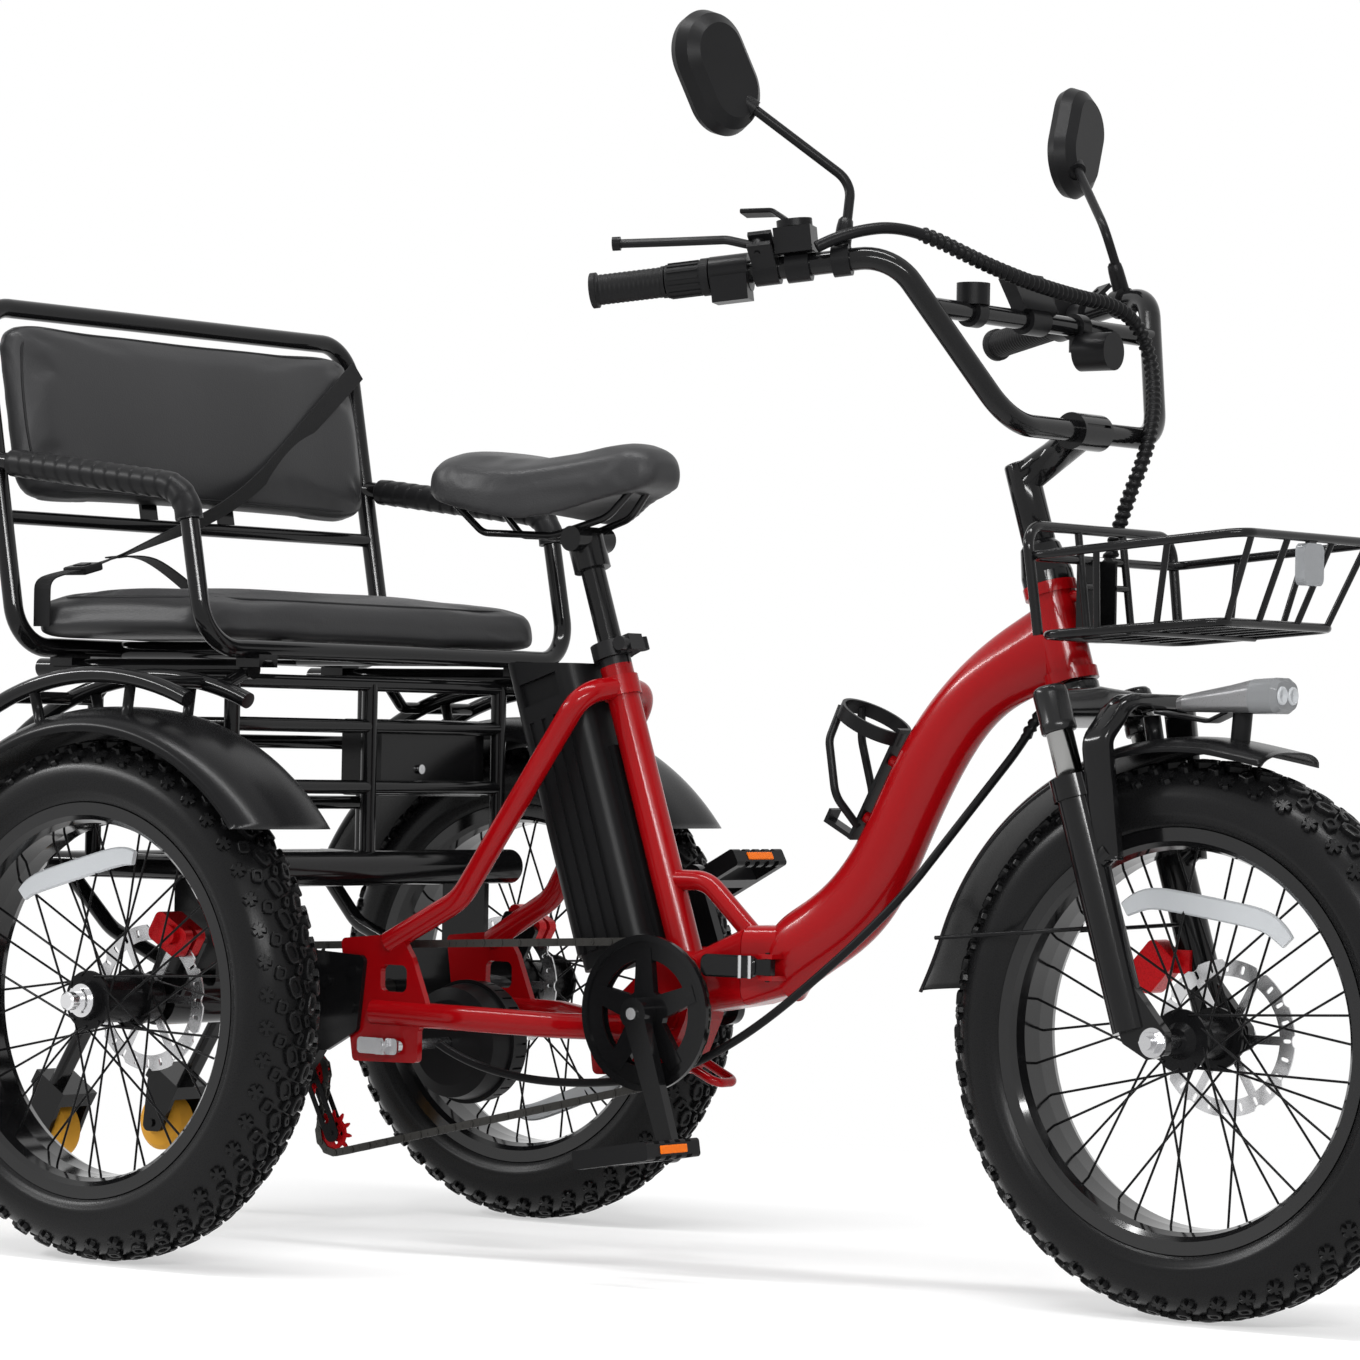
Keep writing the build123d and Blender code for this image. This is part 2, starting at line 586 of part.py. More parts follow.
# Battery: ribbed case behind the seat tube, with its foot and the rail it slides on
BATTERY_FRONT = -25.0
BATTERY_DEPTH = 98.0
BATTERY_HALF = 42.0
BATTERY_FOOT = 22.0
BATTERY_TOP_Z = 658.0
with BuildPart() as battery_pack:
    case = Plane(origin=post(0, 0, BATTERY_FOOT), x_dir=SEAT.x_dir, z_dir=SEAT.z_dir)
    with BuildSketch(case) as outline:
        with Locations((BATTERY_FRONT - BATTERY_DEPTH / 2, 0)):
            RectangleRounded(BATTERY_DEPTH, 2 * BATTERY_HALF, 20.0)
        for side in (-1, 1):
            with Locations((BATTERY_FRONT - BATTERY_DEPTH / 2, side * BATTERY_HALF)):
                with GridLocations(17.0, 1.0, 4, 1):
                    Rectangle(6.0, 5.0, mode=Mode.SUBTRACT)
    extrude(to_extrude=outline.sketch, amount=290.0)
    head = Plane(origin=post(0, 0, BATTERY_FOOT + 262), x_dir=SEAT.x_dir, z_dir=SEAT.z_dir)
    with BuildSketch(head) as cap:
        with Locations((BATTERY_FRONT - BATTERY_DEPTH / 2, 0)):
            RectangleRounded(BATTERY_DEPTH, 2 * BATTERY_HALF, 20.0)
    extrude(to_extrude=cap.sketch, amount=74.0)
    with Locations(at(320, 0, BATTERY_TOP_Z + 50)):
        Box(240.0, 120.0, 100.0, mode=Mode.SUBTRACT)
    for side in (-1, 1):
        with Locations(Location(at(326, side * (BATTERY_HALF + 6), 628), (0, -SEAT_LEAN, 0))):
            Box(52.0, 24.0, 26.0, mode=Mode.SUBTRACT)
    foot = Plane(origin=post(0, 0, BATTERY_FOOT - 18), x_dir=SEAT.x_dir, z_dir=SEAT.z_dir)
    with BuildSketch(foot) as base:
        with Locations((BATTERY_FRONT - BATTERY_DEPTH / 2 + 3, 0)):
            RectangleRounded(BATTERY_DEPTH - 2, 2 * BATTERY_HALF - 6, 18.0)
    extrude(to_extrude=base.sketch, amount=18.0)
    with BuildSketch(foot) as dock_rail:
        with Locations((-21.6, 0)):
            Rectangle(7.2, 30.0)
    extrude(to_extrude=dock_rail.sketch, amount=230.0)
    rod(post(0, 0, -20), post(0, 0, 330), SEAT_TUBE_R + 0.2, mode=Mode.SUBTRACT)
keep(battery_pack.part, "battery_pack")

# Drive: chain path over chainring, tension pulley, guide pulley and cassette cog
RING_R = RING_TEETH * CHAIN_PITCH / (2 * pi)
COG_R = COG_TEETH * CHAIN_PITCH / (2 * pi)
PULLEY_R = PULLEY_TEETH * CHAIN_PITCH / (2 * pi)
RING_AT = (BB[0], BB[2])
COG_AT = (REAR_AXLE_X, TYRE_R)
GUIDE_AT = (REAR_AXLE_X + 22.0, 192.0)
CAGE_LENGTH = 74.0
ROLLER_R = 3.9
TOOTH_HALF = 2.1
TOOTH_UP = 3.2
TOOTH_DOWN = 4.2


def chain_route(cage_angle):
    """Arcs and straight runs of the chain for one angle of the derailleur cage.

    Each wheel is (centre, radius, sense); sense is 1 where the chain turns anticlockwise seen from
    the right. Returns the list of spans and the whole length.
    """
    tension = (
        GUIDE_AT[0] + CAGE_LENGTH * sin(cage_angle),
        GUIDE_AT[1] - CAGE_LENGTH * cos(cage_angle),
    )
    wheels = [
        (RING_AT, RING_R, -1),
        (tension, PULLEY_R, -1),
        (GUIDE_AT, PULLEY_R, 1),
        (COG_AT, COG_R, -1),
    ]
    runs = []
    for (a, ra, sa), (b, rb, sb) in zip(wheels, wheels[1:] + wheels[:1]):
        dx, dz = b[0] - a[0], b[1] - a[1]
        heading = atan2(dz, dx) - asin((sb * rb - sa * ra) / hypot(dx, dz))
        nx, nz = -sin(heading), cos(heading)
        start = (a[0] - sa * ra * nx, a[1] - sa * ra * nz)
        end = (b[0] - sb * rb * nx, b[1] - sb * rb * nz)
        runs.append((start, end))
    spans = []
    total = 0.0
    for i, (centre, radius, sense) in enumerate(wheels):
        arrive, leave = runs[i - 1][1], runs[i][0]
        begin = atan2(arrive[1] - centre[1], arrive[0] - centre[0])
        finish = atan2(leave[1] - centre[1], leave[0] - centre[0])
        swing = (sense * (finish - begin)) % (2 * pi)
        spans.append(("arc", total, radius * swing, centre, radius, begin, sense))
        total += radius * swing
        run = hypot(runs[i][1][0] - leave[0], runs[i][1][1] - leave[1])
        spans.append(("run", total, run, leave, runs[i][1]))
        total += run
    return spans, total, tension


LINK_COUNT = 2 * round(chain_route(radians(30.0))[1] / (2 * CHAIN_PITCH))
low_angle, high_angle = radians(-5.0), radians(75.0)
for _ in range(60):
    cage_angle = (low_angle + high_angle) / 2
    longer = chain_route(cage_angle)[1] > LINK_COUNT * CHAIN_PITCH
    if longer == (chain_route(low_angle)[1] > chain_route(high_angle)[1]):
        low_angle = cage_angle
    else:
        high_angle = cage_angle
SPANS, CHAIN_LENGTH, TENSION_AT = chain_route(cage_angle)
print("chain links", LINK_COUNT, "slack mm", round(CHAIN_LENGTH - LINK_COUNT * CHAIN_PITCH, 3))
print("cage angle", round(degrees(cage_angle), 1), "tension pulley", TENSION_AT)


def chain_point(distance):
    """The point of the chain at a distance along it."""
    for span in SPANS:
        kind, start, length = span[:3]
        if distance <= start + length + 1e-9:
            travel = distance - start
            if kind == "arc":
                _, _, _, centre, radius, begin, sense = span
                angle = begin + sense * travel / radius
                return (centre[0] + radius * cos(angle), centre[1] + radius * sin(angle))
            _, _, _, a, b = span
            share = travel / length
            return (a[0] + share * (b[0] - a[0]), a[1] + share * (b[1] - a[1]))
    return chain_point(distance - CHAIN_LENGTH)


def roller_phase(index):
    """The angle of one roller on the wheel whose arc is the numbered span."""
    _, start, _, _, radius, begin, sense = SPANS[index]
    first = -(-start // CHAIN_PITCH) * CHAIN_PITCH
    return begin + sense * (first - start) / radius


def toothed(centre, teeth, radius, phase):
    """Outline of a sprocket: square-shouldered teeth half a pitch away from the rollers."""
    points = []
    for i in range(teeth):
        middle = phase + (i + 0.5) * 2 * pi / teeth
        for half, reach in (
            (TOOTH_HALF + 0.5, radius - TOOTH_DOWN),
            (TOOTH_HALF, radius),
            (TOOTH_HALF - 1.2, radius + TOOTH_UP),
            (-TOOTH_HALF + 1.2, radius + TOOTH_UP),
            (-TOOTH_HALF, radius),
            (-TOOTH_HALF - 0.5, radius - TOOTH_DOWN),
        ):
            angle = middle - half / reach
            points.append((centre[0] + reach * cos(angle), centre[1] + reach * sin(angle)))
    return points


PLATE_HEIGHT = 8.4
rollers = [chain_point(i * CHAIN_PITCH) for i in range(LINK_COUNT)]
links = []
for i in range(LINK_COUNT):
    a, b = rollers[i], rollers[(i + 1) % LINK_COUNT]
    place = Location(((a[0] + b[0]) / 2, (a[1] + b[1]) / 2), degrees(atan2(b[1] - a[1], b[0] - a[0])))
    links.append((place, hypot(b[0] - a[0], b[1] - a[1])))
with BuildPart() as chain:
    with BuildSketch(side_plane(-CHAIN_Y)) as roller_cuts:
        with Locations(*rollers):
            Circle(ROLLER_R)
    extrude(to_extrude=roller_cuts.sketch, amount=1.3, both=True)
    with BuildSketch(side_plane(-CHAIN_Y)) as pin_cuts:
        with Locations(*rollers):
            Circle(1.9)
    extrude(to_extrude=pin_cuts.sketch, amount=3.5, both=True)
    for parity, inner, outer in ((0, 1.3, 2.1), (1, 2.3, 3.1)):
        for side in (-1, 1):
            with BuildSketch(side_plane(-CHAIN_Y + side * (inner + outer) / 2)) as plates:
                for place, pitch in links[parity::2]:
                    with Locations(place):
                        SlotCenterToCenter(pitch, PLATE_HEIGHT)
            extrude(to_extrude=plates.sketch, amount=(outer - inner) / 2, both=True)
keep(chain.part, "chain")

RING_T = 2.0
GUARD_R = 84.0
CRANK_DOWN = radians(CRANK_FORWARD)
PEDAL_RIGHT = (BB[0] + CRANK_LENGTH * sin(CRANK_DOWN), BB[2] - CRANK_LENGTH * cos(CRANK_DOWN))
PEDAL_LEFT = (2 * BB[0] - PEDAL_RIGHT[0], 2 * BB[2] - PEDAL_RIGHT[1])
CRANK_IN = 78.0
CRANK_OUT = 90.0
with BuildPart() as crank_right:
    with BuildSketch(side_plane(-CHAIN_Y)) as ring:
        Polygon(*toothed(RING_AT, RING_TEETH, RING_R, roller_phase(0)), align=None)
        with Locations(RING_AT):
            Circle(57.0, mode=Mode.SUBTRACT)
    extrude(to_extrude=ring.sketch, amount=RING_T / 2, both=True)
    with BuildSketch(side_plane(-CHAIN_Y - 0.8)) as spider:
        with Locations(RING_AT):
            with PolarLocations(0.0, 5, start_angle=20.0):
                Polygon((10, 14), (70, 9.5), (70, -9.5), (10, -14), align=None)
            Circle(26.0)
    extrude(to_extrude=spider.sketch, amount=8.6)
    with BuildSketch(side_plane(-CHAIN_Y - 7.2)) as guard:
        with Locations(RING_AT):
            Circle(GUARD_R - 6)
            Circle(58.0, mode=Mode.SUBTRACT)
    extrude(to_extrude=guard.sketch, amount=1.2, both=True)
    with BuildSketch(side_plane(-CHAIN_Y - 8.2)) as lip:
        with Locations(RING_AT):
            Circle(GUARD_R)
            Circle(GUARD_R - 7, mode=Mode.SUBTRACT)
    extrude(to_extrude=lip.sketch, amount=2.6, both=True)
    rod((BB[0], -CHAIN_Y - 0.8, BB[2]), (BB[0], -CRANK_OUT, BB[2]), 17.0)
    with BuildSketch(side_plane(-(CRANK_IN + CRANK_OUT) / 2)) as arm:
        with BuildLine():
            arm_way = Vector(PEDAL_RIGHT[0] - BB[0], PEDAL_RIGHT[1] - BB[2]).normalized()
            across = Vector(-arm_way.Y, arm_way.X)
            hub_at, eye_at = Vector(*RING_AT), Vector(*PEDAL_RIGHT)
            Polyline(
                tuple(hub_at + across * 14.0)[:2],
                tuple(eye_at + across * 10.0)[:2],
                tuple(eye_at - across * 10.0)[:2],
                tuple(hub_at - across * 14.0)[:2],
                close=True,
            )
        make_face()
        with Locations(RING_AT):
            Circle(17.0)
        with Locations(PEDAL_RIGHT):
            Circle(13.0)
    extrude(to_extrude=arm.sketch, amount=(CRANK_OUT - CRANK_IN) / 2, both=True)
    rod((BB[0], 0, BB[2]), (BB[0], -CRANK_OUT, BB[2]), 9.0)
    rod((BB[0], -CRANK_OUT + 1, BB[2]), (BB[0], -CRANK_OUT - 3, BB[2]), 6.5)
    with Locations((PEDAL_RIGHT[0], -CRANK_OUT, PEDAL_RIGHT[1])):
        Cylinder(6.0, 40.0, rotation=(90, 0, 0), mode=Mode.SUBTRACT)
keep(crank_right.part, "crank_right")

with BuildPart() as crank_left:
    rod((BB[0], 0, BB[2]), (BB[0], CRANK_OUT, BB[2]), 9.0)
    with BuildSketch(side_plane((CRANK_IN + CRANK_OUT) / 2)) as arm:
        with BuildLine():
            hub_at, eye_at = Vector(*RING_AT), Vector(*PEDAL_LEFT)
            Polyline(
                tuple(hub_at + across * 14.0)[:2],
                tuple(eye_at + across * 10.0)[:2],
                tuple(eye_at - across * 10.0)[:2],
                tuple(hub_at - across * 14.0)[:2],
                close=True,
            )
        make_face()
        with Locations(RING_AT):
            Circle(17.0)
        with Locations(PEDAL_LEFT):
            Circle(13.0)
    extrude(to_extrude=arm.sketch, amount=(CRANK_OUT - CRANK_IN) / 2, both=True)
    with Locations((PEDAL_LEFT[0], CRANK_OUT, PEDAL_LEFT[1])):
        Cylinder(6.0, 40.0, rotation=(90, 0, 0), mode=Mode.SUBTRACT)
keep(crank_left.part, "crank_left")

PEDAL_IN = 97.0
PEDAL_WIDE = 92.0
PEDAL_LONG = 100.0
PEDAL_HIGH = 20.0
for name, side, place, tilt in (
    ("pedal_right", -1, PEDAL_RIGHT, -9.5),
    ("pedal_left", 1, PEDAL_LEFT, -28.0),
):
    with BuildPart() as pedal:
        centre = (place[0], side * (PEDAL_IN + PEDAL_WIDE / 2), place[1])
        with Locations(Location(centre, (0, tilt, 0))):
            Box(PEDAL_LONG, PEDAL_WIDE, PEDAL_HIGH)
        fillet(pedal.edges().filter_by(Axis.Y), 4.0)
        with Locations(Location(centre, (0, tilt, 0))):
            for forward in (-26.0, 26.0):
                with Locations((forward, 0, 0)):
                    Box(32.0, PEDAL_WIDE - 20, PEDAL_HIGH + 2, mode=Mode.SUBTRACT)
            for height in (-PEDAL_HIGH / 2, PEDAL_HIGH / 2):
                with Locations((0, 0, height)):
                    with GridLocations(PEDAL_LONG - 4, 18.0, 2, 4):
                        Box(14.0, 9.0, 7.0, mode=Mode.SUBTRACT)
            with GridLocations(52.0, 2 * PEDAL_WIDE, 2, 1):
                Box(26.0, 40.0, 7.0, mode=Mode.SUBTRACT)
        rod((place[0], side * (CRANK_IN - 2), place[1]), (place[0], side * PEDAL_IN, place[1]), 5.6)
    keep(pedal.part, name)

COG_STEP = 5.0
COGS = (28, COG_TEETH, 24, 22, 20, 18, 16)
with BuildPart() as cassette:
    for i, teeth in enumerate(COGS):
        radius = teeth * CHAIN_PITCH / (2 * pi)
        phase = roller_phase(6) if teeth == COG_TEETH else 0.0
        with BuildSketch(side_plane(-CHAIN_Y + (1 - i) * COG_STEP)) as cog:
            Polygon(*toothed(COG_AT, teeth, radius, phase), align=None)
            if teeth > 20:
                with Locations(COG_AT):
                    with PolarLocations(0.5 * radius + 8.0, 6):
                        Circle(0.16 * radius, mode=Mode.SUBTRACT)
        extrude(to_extrude=cog.sketch, amount=0.9, both=True)
    rod(at(0, -88, TYRE_R), at(0, -50, TYRE_R), 17.0)
    rod(at(0, -HOUSING_IN, TYRE_R), at(0, HOUSING_IN, TYRE_R), SHAFT_R)
keep(cassette.part, "cassette")

for name, centre, index in (("guide_pulley", GUIDE_AT, 4), ("tension_pulley", TENSION_AT, 2)):
    with BuildPart() as pulley:
        with BuildSketch(side_plane(-CHAIN_Y)):
            Polygon(*toothed(centre, PULLEY_TEETH, PULLEY_R, roller_phase(index)), align=None)
            with Locations(centre):
                Circle(2.8, mode=Mode.SUBTRACT)
                with PolarLocations(10.5, 5):
                    Circle(2.6, mode=Mode.SUBTRACT)
        extrude(amount=0.9, both=True)
    keep(pulley.part, name)

with BuildPart() as derailleur:
    cage_middle = ((GUIDE_AT[0] + TENSION_AT[0]) / 2, (GUIDE_AT[1] + TENSION_AT[1]) / 2)
    cage_turn = degrees(atan2(TENSION_AT[1] - GUIDE_AT[1], TENSION_AT[0] - GUIDE_AT[0]))
    for offset in (-5.4, 5.4):
        with BuildSketch(side_plane(-CHAIN_Y + offset)) as cage:
            with Locations(Location(cage_middle, cage_turn)):
                SlotCenterToCenter(CAGE_LENGTH, 20.0)
                SlotCenterToCenter(CAGE_LENGTH - 32, 8.0, mode=Mode.SUBTRACT)
        extrude(to_extrude=cage.sketch, amount=0.8, both=True)
    for centre in (GUIDE_AT, TENSION_AT):
        rod((centre[0], -CHAIN_Y - 7.5, centre[1]), (centre[0], -CHAIN_Y + 7.5, centre[1]), 2.5)
    rod((GUIDE_AT[0], -CHAIN_Y - 6, GUIDE_AT[1]), (GUIDE_AT[0], -CHAIN_Y - 30, GUIDE_AT[1]), 10.0)
    hanger = at(58, 0, 238)
    rod((hanger[0], -96, hanger[2]), (hanger[0], -CHAIN_Y - 14, hanger[2]), 10.0)
    with BuildSketch(side_plane(-CHAIN_Y - 24)) as link:
        turn = atan2(hanger[2] - GUIDE_AT[1], hanger[0] - GUIDE_AT[0])
        middle = ((hanger[0] + GUIDE_AT[0]) / 2, (hanger[2] + GUIDE_AT[1]) / 2)
        with Locations(Location(middle, degrees(turn))):
            SlotCenterToCenter(hypot(hanger[0] - GUIDE_AT[0], hanger[2] - GUIDE_AT[1]), 22.0)
    extrude(to_extrude=link.sketch, amount=7.0, both=True)
keep(derailleur.part, "derailleur")

# Motor: a drum on a fixed axle in the dropouts
MOTOR_Y = (8.0, 40.0, 44.0, 72.0)
with BuildPart() as motor_shell:
    turned(
        MOTOR_AXLE,
        [
            (MOTOR_Y[0], MOTOR_AXLE_R + GAP),
            (MOTOR_Y[0], 48.0),
            (MOTOR_Y[0] + 5, 62.0),
            (MOTOR_Y[1], 66.0),
            (MOTOR_Y[1], 70.0),
            (MOTOR_Y[2], 70.0),
            (MOTOR_Y[2], 68.0),
            (MOTOR_Y[3] - 6, 68.0),
            (MOTOR_Y[3], 60.0),
            (MOTOR_Y[3], MOTOR_AXLE_R + GAP),
        ],
    )
    with Locations(Location((MOTOR_AXLE[0], 56.0, MOTOR_AXLE[2]), (90, 0, 0))):
        with PolarLocations(68.0, 30):
            Box(5.0, 2.6, 16.0, mode=Mode.SUBTRACT)
keep(motor_shell.part, "motor_shell")

with BuildPart() as motor_axle:
    rod(
        (MOTOR_AXLE[0], -112, MOTOR_AXLE[2]), (MOTOR_AXLE[0], 112, MOTOR_AXLE[2]), MOTOR_AXLE_R
    )
    for side in (-1, 1):
        with BuildSketch(side_plane(side * 103.5)) as adjuster:
            with Locations((MOTOR_AXLE[0] - 8, MOTOR_AXLE[2])):
                RectangleRounded(58.0, 18.0, 5.0)
        extrude(to_extrude=adjuster.sketch, amount=1.5, both=True)
        with BuildSketch(side_plane(side * 108.0)) as nut:
            with Locations((MOTOR_AXLE[0], MOTOR_AXLE[2])):
                RegularPolygon(10.5, 6)
        extrude(to_extrude=nut.sketch, amount=3.0, both=True)
keep(motor_axle.part, "motor_axle")

# Axle housing: two bearing tubes bolted by side plates to the dropouts, with brake brackets and the
# arms of the anti-tip rollers
ROLLER_AT = (-346.0, 108.0)
ROLLER_Y = 97.0
ROLLER_RADIUS = 33.0
ARM_ROUTE = [(-14.0, 276.0), (-262.0, 262.0), (-328.0, 158.0)]
HOUSING_R = 30.0
PLATE_IN = DROPOUT_Y + DROPOUT_T / 2
with BuildPart() as axle_housing:
    for side in (-1, 1):
        rod(at(0, side * PLATE_IN, TYRE_R), at(0, side * HOUSING_OUT, TYRE_R), HOUSING_R)
        with BuildSketch(side_plane(side * (PLATE_IN + 3))) as side_plate:
            with BuildLine():
                Polyline(
                    (REAR_AXLE_X - 40, 318),
                    (REAR_AXLE_X + 40, 334),
                    (REAR_AXLE_X + 132, 330),
                    (REAR_AXLE_X + 122, 246),
                    (REAR_AXLE_X + 78, 222),
                    (REAR_AXLE_X + 40, 222),
                    (REAR_AXLE_X - 40, 250),
                    close=True,
                )
            make_face()
            fillet(side_plate.vertices(), 8.0)
        extrude(to_extrude=side_plate.sketch, amount=3.0, both=True)
        with BuildSketch(side_plane(side * 288.0)) as bracket:
            with BuildLine():
                Polyline(
                    (REAR_AXLE_X - 24, 290),
                    (REAR_AXLE_X + 18, 372),
                    (REAR_AXLE_X + 66, 350),
                    (REAR_AXLE_X + 28, 282),
                    close=True,
                )
            make_face()
            fillet(bracket.vertices(), 6.0)
        extrude(to_extrude=bracket.sketch, amount=3.0, both=True)
        y_arm = side * (ROLLER_Y + 16)
        band([at(a, y_arm, b) for a, b in ARM_ROUTE], 24.0, 12.0, 34.0, (0, 1, 0))
        with Locations(Location(at(-330, side * ROLLER_Y, 158), (0, 32, 0))):
            Box(52.0, 56.0, 18.0)
        for ear in (-1, 1):
            with BuildSketch(side_plane(side * ROLLER_Y + ear * 25.0)) as ear_plate:
                with BuildLine():
                    Polyline(
                        (REAR_AXLE_X - 352, 168),
                        (REAR_AXLE_X - 306, 152),
                        (REAR_AXLE_X - 332, 98),
                        (REAR_AXLE_X - 360, 98),
                        close=True,
                    )
                make_face()
                fillet(ear_plate.vertices(), 8.0)
            extrude(to_extrude=ear_plate.sketch, amount=3.0, both=True)
        rod(
            at(ROLLER_AT[0], side * ROLLER_Y - 31, ROLLER_AT[1]),
            at(ROLLER_AT[0], side * ROLLER_Y + 31, ROLLER_AT[1]),
            5.0,
        )
        rod(
            at(0, side * (PLATE_IN - 20), TYRE_R),
            at(0, side * (HOUSING_OUT + 1), TYRE_R),
            SHAFT_R + 1.0,
            mode=Mode.SUBTRACT,
        )
        for forward, up in ((118.0, 312.0), (114.0, 272.0), (78.0, 300.0)):
            rod(at(forward, side * (PLATE_IN + 6), up), at(forward, side * (PLATE_IN + 11), up), 7.0)
keep(axle_housing.part, "axle_housing")

CALIPER_AT = (38.0, 354.0)
with BuildPart() as rear_calipers:
    for side in (-1, 1):
        with BuildSketch(side_plane(side * 306.5)) as body:
            with Locations(Location((REAR_AXLE_X + CALIPER_AT[0], CALIPER_AT[1]), -30.0)):
                RectangleRounded(52.0, 34.0, 9.0)
        extrude(to_extrude=body.sketch, amount=15.5, both=True)
        with Locations(at(CALIPER_AT[0] - 14, side * 307.0, CALIPER_AT[1] - 24)):
            Box(90.0, 6.0, 66.0, mode=Mode.SUBTRACT)
        rod(
            at(CALIPER_AT[0] + 4, side * 321, CALIPER_AT[1]),
            at(CALIPER_AT[0] + 4, side * 328, CALIPER_AT[1]),
            11.0,
        )
keep(rear_calipers.part, "rear_calipers")

# Rear carrier: black tube cage between the rear wheels, with rails over the fenders
CAGE_Y = 232.0
CAGE_FRONT = 45.0
CAGE_BACK = -215.0
POST_BACK = -162.0
CROSS_FRONT = (585.0, 516.0)
CROSS_BACK = (566.0, 495.0)
RAIL_Z = 645.0
RAIL_R = 11.0
CAGE_LOW = 424.0
FENDER_Y = 350.0
GUARD_RADIUS = 352.0
with BuildPart() as rear_carrier:
    for side in (-1, 1):
        rod(at(-247, side * CAGE_Y, RAIL_Z), at(76, side * CAGE_Y, RAIL_Z), RAIL_R)
        rod(at(CAGE_FRONT, side * CAGE_Y, CAGE_LOW), at(CAGE_FRONT, side * CAGE_Y, RAIL_Z), 9.0)
        rod(at(POST_BACK, side * CAGE_Y, CAGE_LOW), at(POST_BACK, side * CAGE_Y, RAIL_Z), 9.0)
        rod(at(CAGE_BACK - 12, side * CAGE_Y, CAGE_LOW), at(60, side * CAGE_Y, CAGE_LOW), 14.0)
        for up in CROSS_FRONT:
            rod(at(POST_BACK, side * CAGE_Y, up), at(CAGE_FRONT, side * CAGE_Y, up), 7.0)
        with Locations(at(0, side * CAGE_Y, 362.0)):
            Box(64.0, 8.0, 124.0)
        strut = [
            at(CAGE_BACK, side * (CAGE_Y - 14), CAGE_LOW - 6),
            at(-150, side * (CAGE_Y - 20), 352),
            at(-10, side * (CAGE_Y - 20), 296),
        ]
        tube(strut, 9.0, 60.0)
        for y_rail in (FENDER_Y - 48, FENDER_Y + 48):
            with BuildSketch(spin_plane(at(0, 0, TYRE_R), 126.0)) as guard:
                with Locations((side * y_rail, GUARD_RADIUS)):
                    Circle(9.0)
            revolve(profiles=guard.sketch, axis=Axis(at(0, 0, TYRE_R), (0, 1, 0)), revolution_arc=58.0)
        for angle in (79.0, 112.0):
            turn = radians(angle)
            forward, up = GUARD_RADIUS * cos(turn), TYRE_R + GUARD_RADIUS * sin(turn)
            link = [
                at(forward, side * CAGE_Y, RAIL_Z - 2),
                at(forward, side * (CAGE_Y + 34), up),
                at(forward, side * (FENDER_Y + 48), up),
            ]
            tube(link, 7.0, 16.0)
    rod(at(CAGE_FRONT, 0, CAGE_LOW), at(CAGE_FRONT, 0, RAIL_Z - 12), 9.0)
    for up in (RAIL_Z - 12, *CROSS_FRONT):
        rod(at(CAGE_FRONT, -CAGE_Y, up), at(CAGE_FRONT, CAGE_Y, up), 8.0)
    for up in CROSS_BACK:
        rod(at(POST_BACK, -CAGE_Y, up), at(POST_BACK, CAGE_Y, up), 8.0)
    rod(at(CAGE_FRONT, -CAGE_Y - 26, CAGE_LOW), at(CAGE_FRONT, CAGE_Y + 26, CAGE_LOW), 20.0)
    rod(at(CAGE_BACK, -CAGE_Y, CAGE_LOW), at(CAGE_BACK, CAGE_Y, CAGE_LOW), 14.0)
    for side in (-1, 1):
        rod(at(0, side * 190, TYRE_R), at(0, side * 280, TYRE_R), HOUSING_R, mode=Mode.SUBTRACT)
keep(rear_carrier.part, "rear_carrier")

with BuildPart() as rear_fenders:
    for side in (-1, 1):
        with BuildSketch(spin_plane(at(0, side * FENDER_Y, TYRE_R), 158.0)) as shell:
            with BuildLine():
                outer = ThreePointArc((-75.0, 302.0), (0.0, 318.0), (75.0, 302.0))
                Line(outer @ 1, (75.0, 290.0))
                Line((75.0, 290.0), (72.0, 290.0))
                Line((72.0, 290.0), (72.0, 300.0))
                ThreePointArc((72.0, 300.0), (0.0, 315.2), (-72.0, 300.0))
                Line((-72.0, 300.0), (-72.0, 290.0))
                Line((-72.0, 290.0), (-75.0, 290.0))
                Line((-75.0, 290.0), outer @ 0)
            make_face()
        revolve(
            profiles=shell.sketch,
            axis=Axis(at(0, side * FENDER_Y, TYRE_R), (0, 1, 0)),
            revolution_arc=117.0,
        )
        for y_rail in (-48.0, 48.0):
            for angle in (82.0, 106.0):
                turn = radians(angle)
                rod(
                    at(309 * cos(turn), side * (FENDER_Y + y_rail), TYRE_R + 309 * sin(turn)),
                    at(344 * cos(turn), side * (FENDER_Y + y_rail), TYRE_R + 344 * sin(turn)),
                    6.0,
                )
        for y_rail in (FENDER_Y - 48, FENDER_Y + 48):
            with BuildSketch(spin_plane(at(0, 0, TYRE_R), 126.0)) as guard:
                with Locations((side * y_rail, GUARD_RADIUS)):
                    Circle(9.0)
            revolve(
                profiles=guard.sketch,
                axis=Axis(at(0, 0, TYRE_R), (0, 1, 0)),
                revolution_arc=58.0,
                mode=Mode.SUBTRACT,
            )
keep(rear_fenders.part, "rear_fenders")

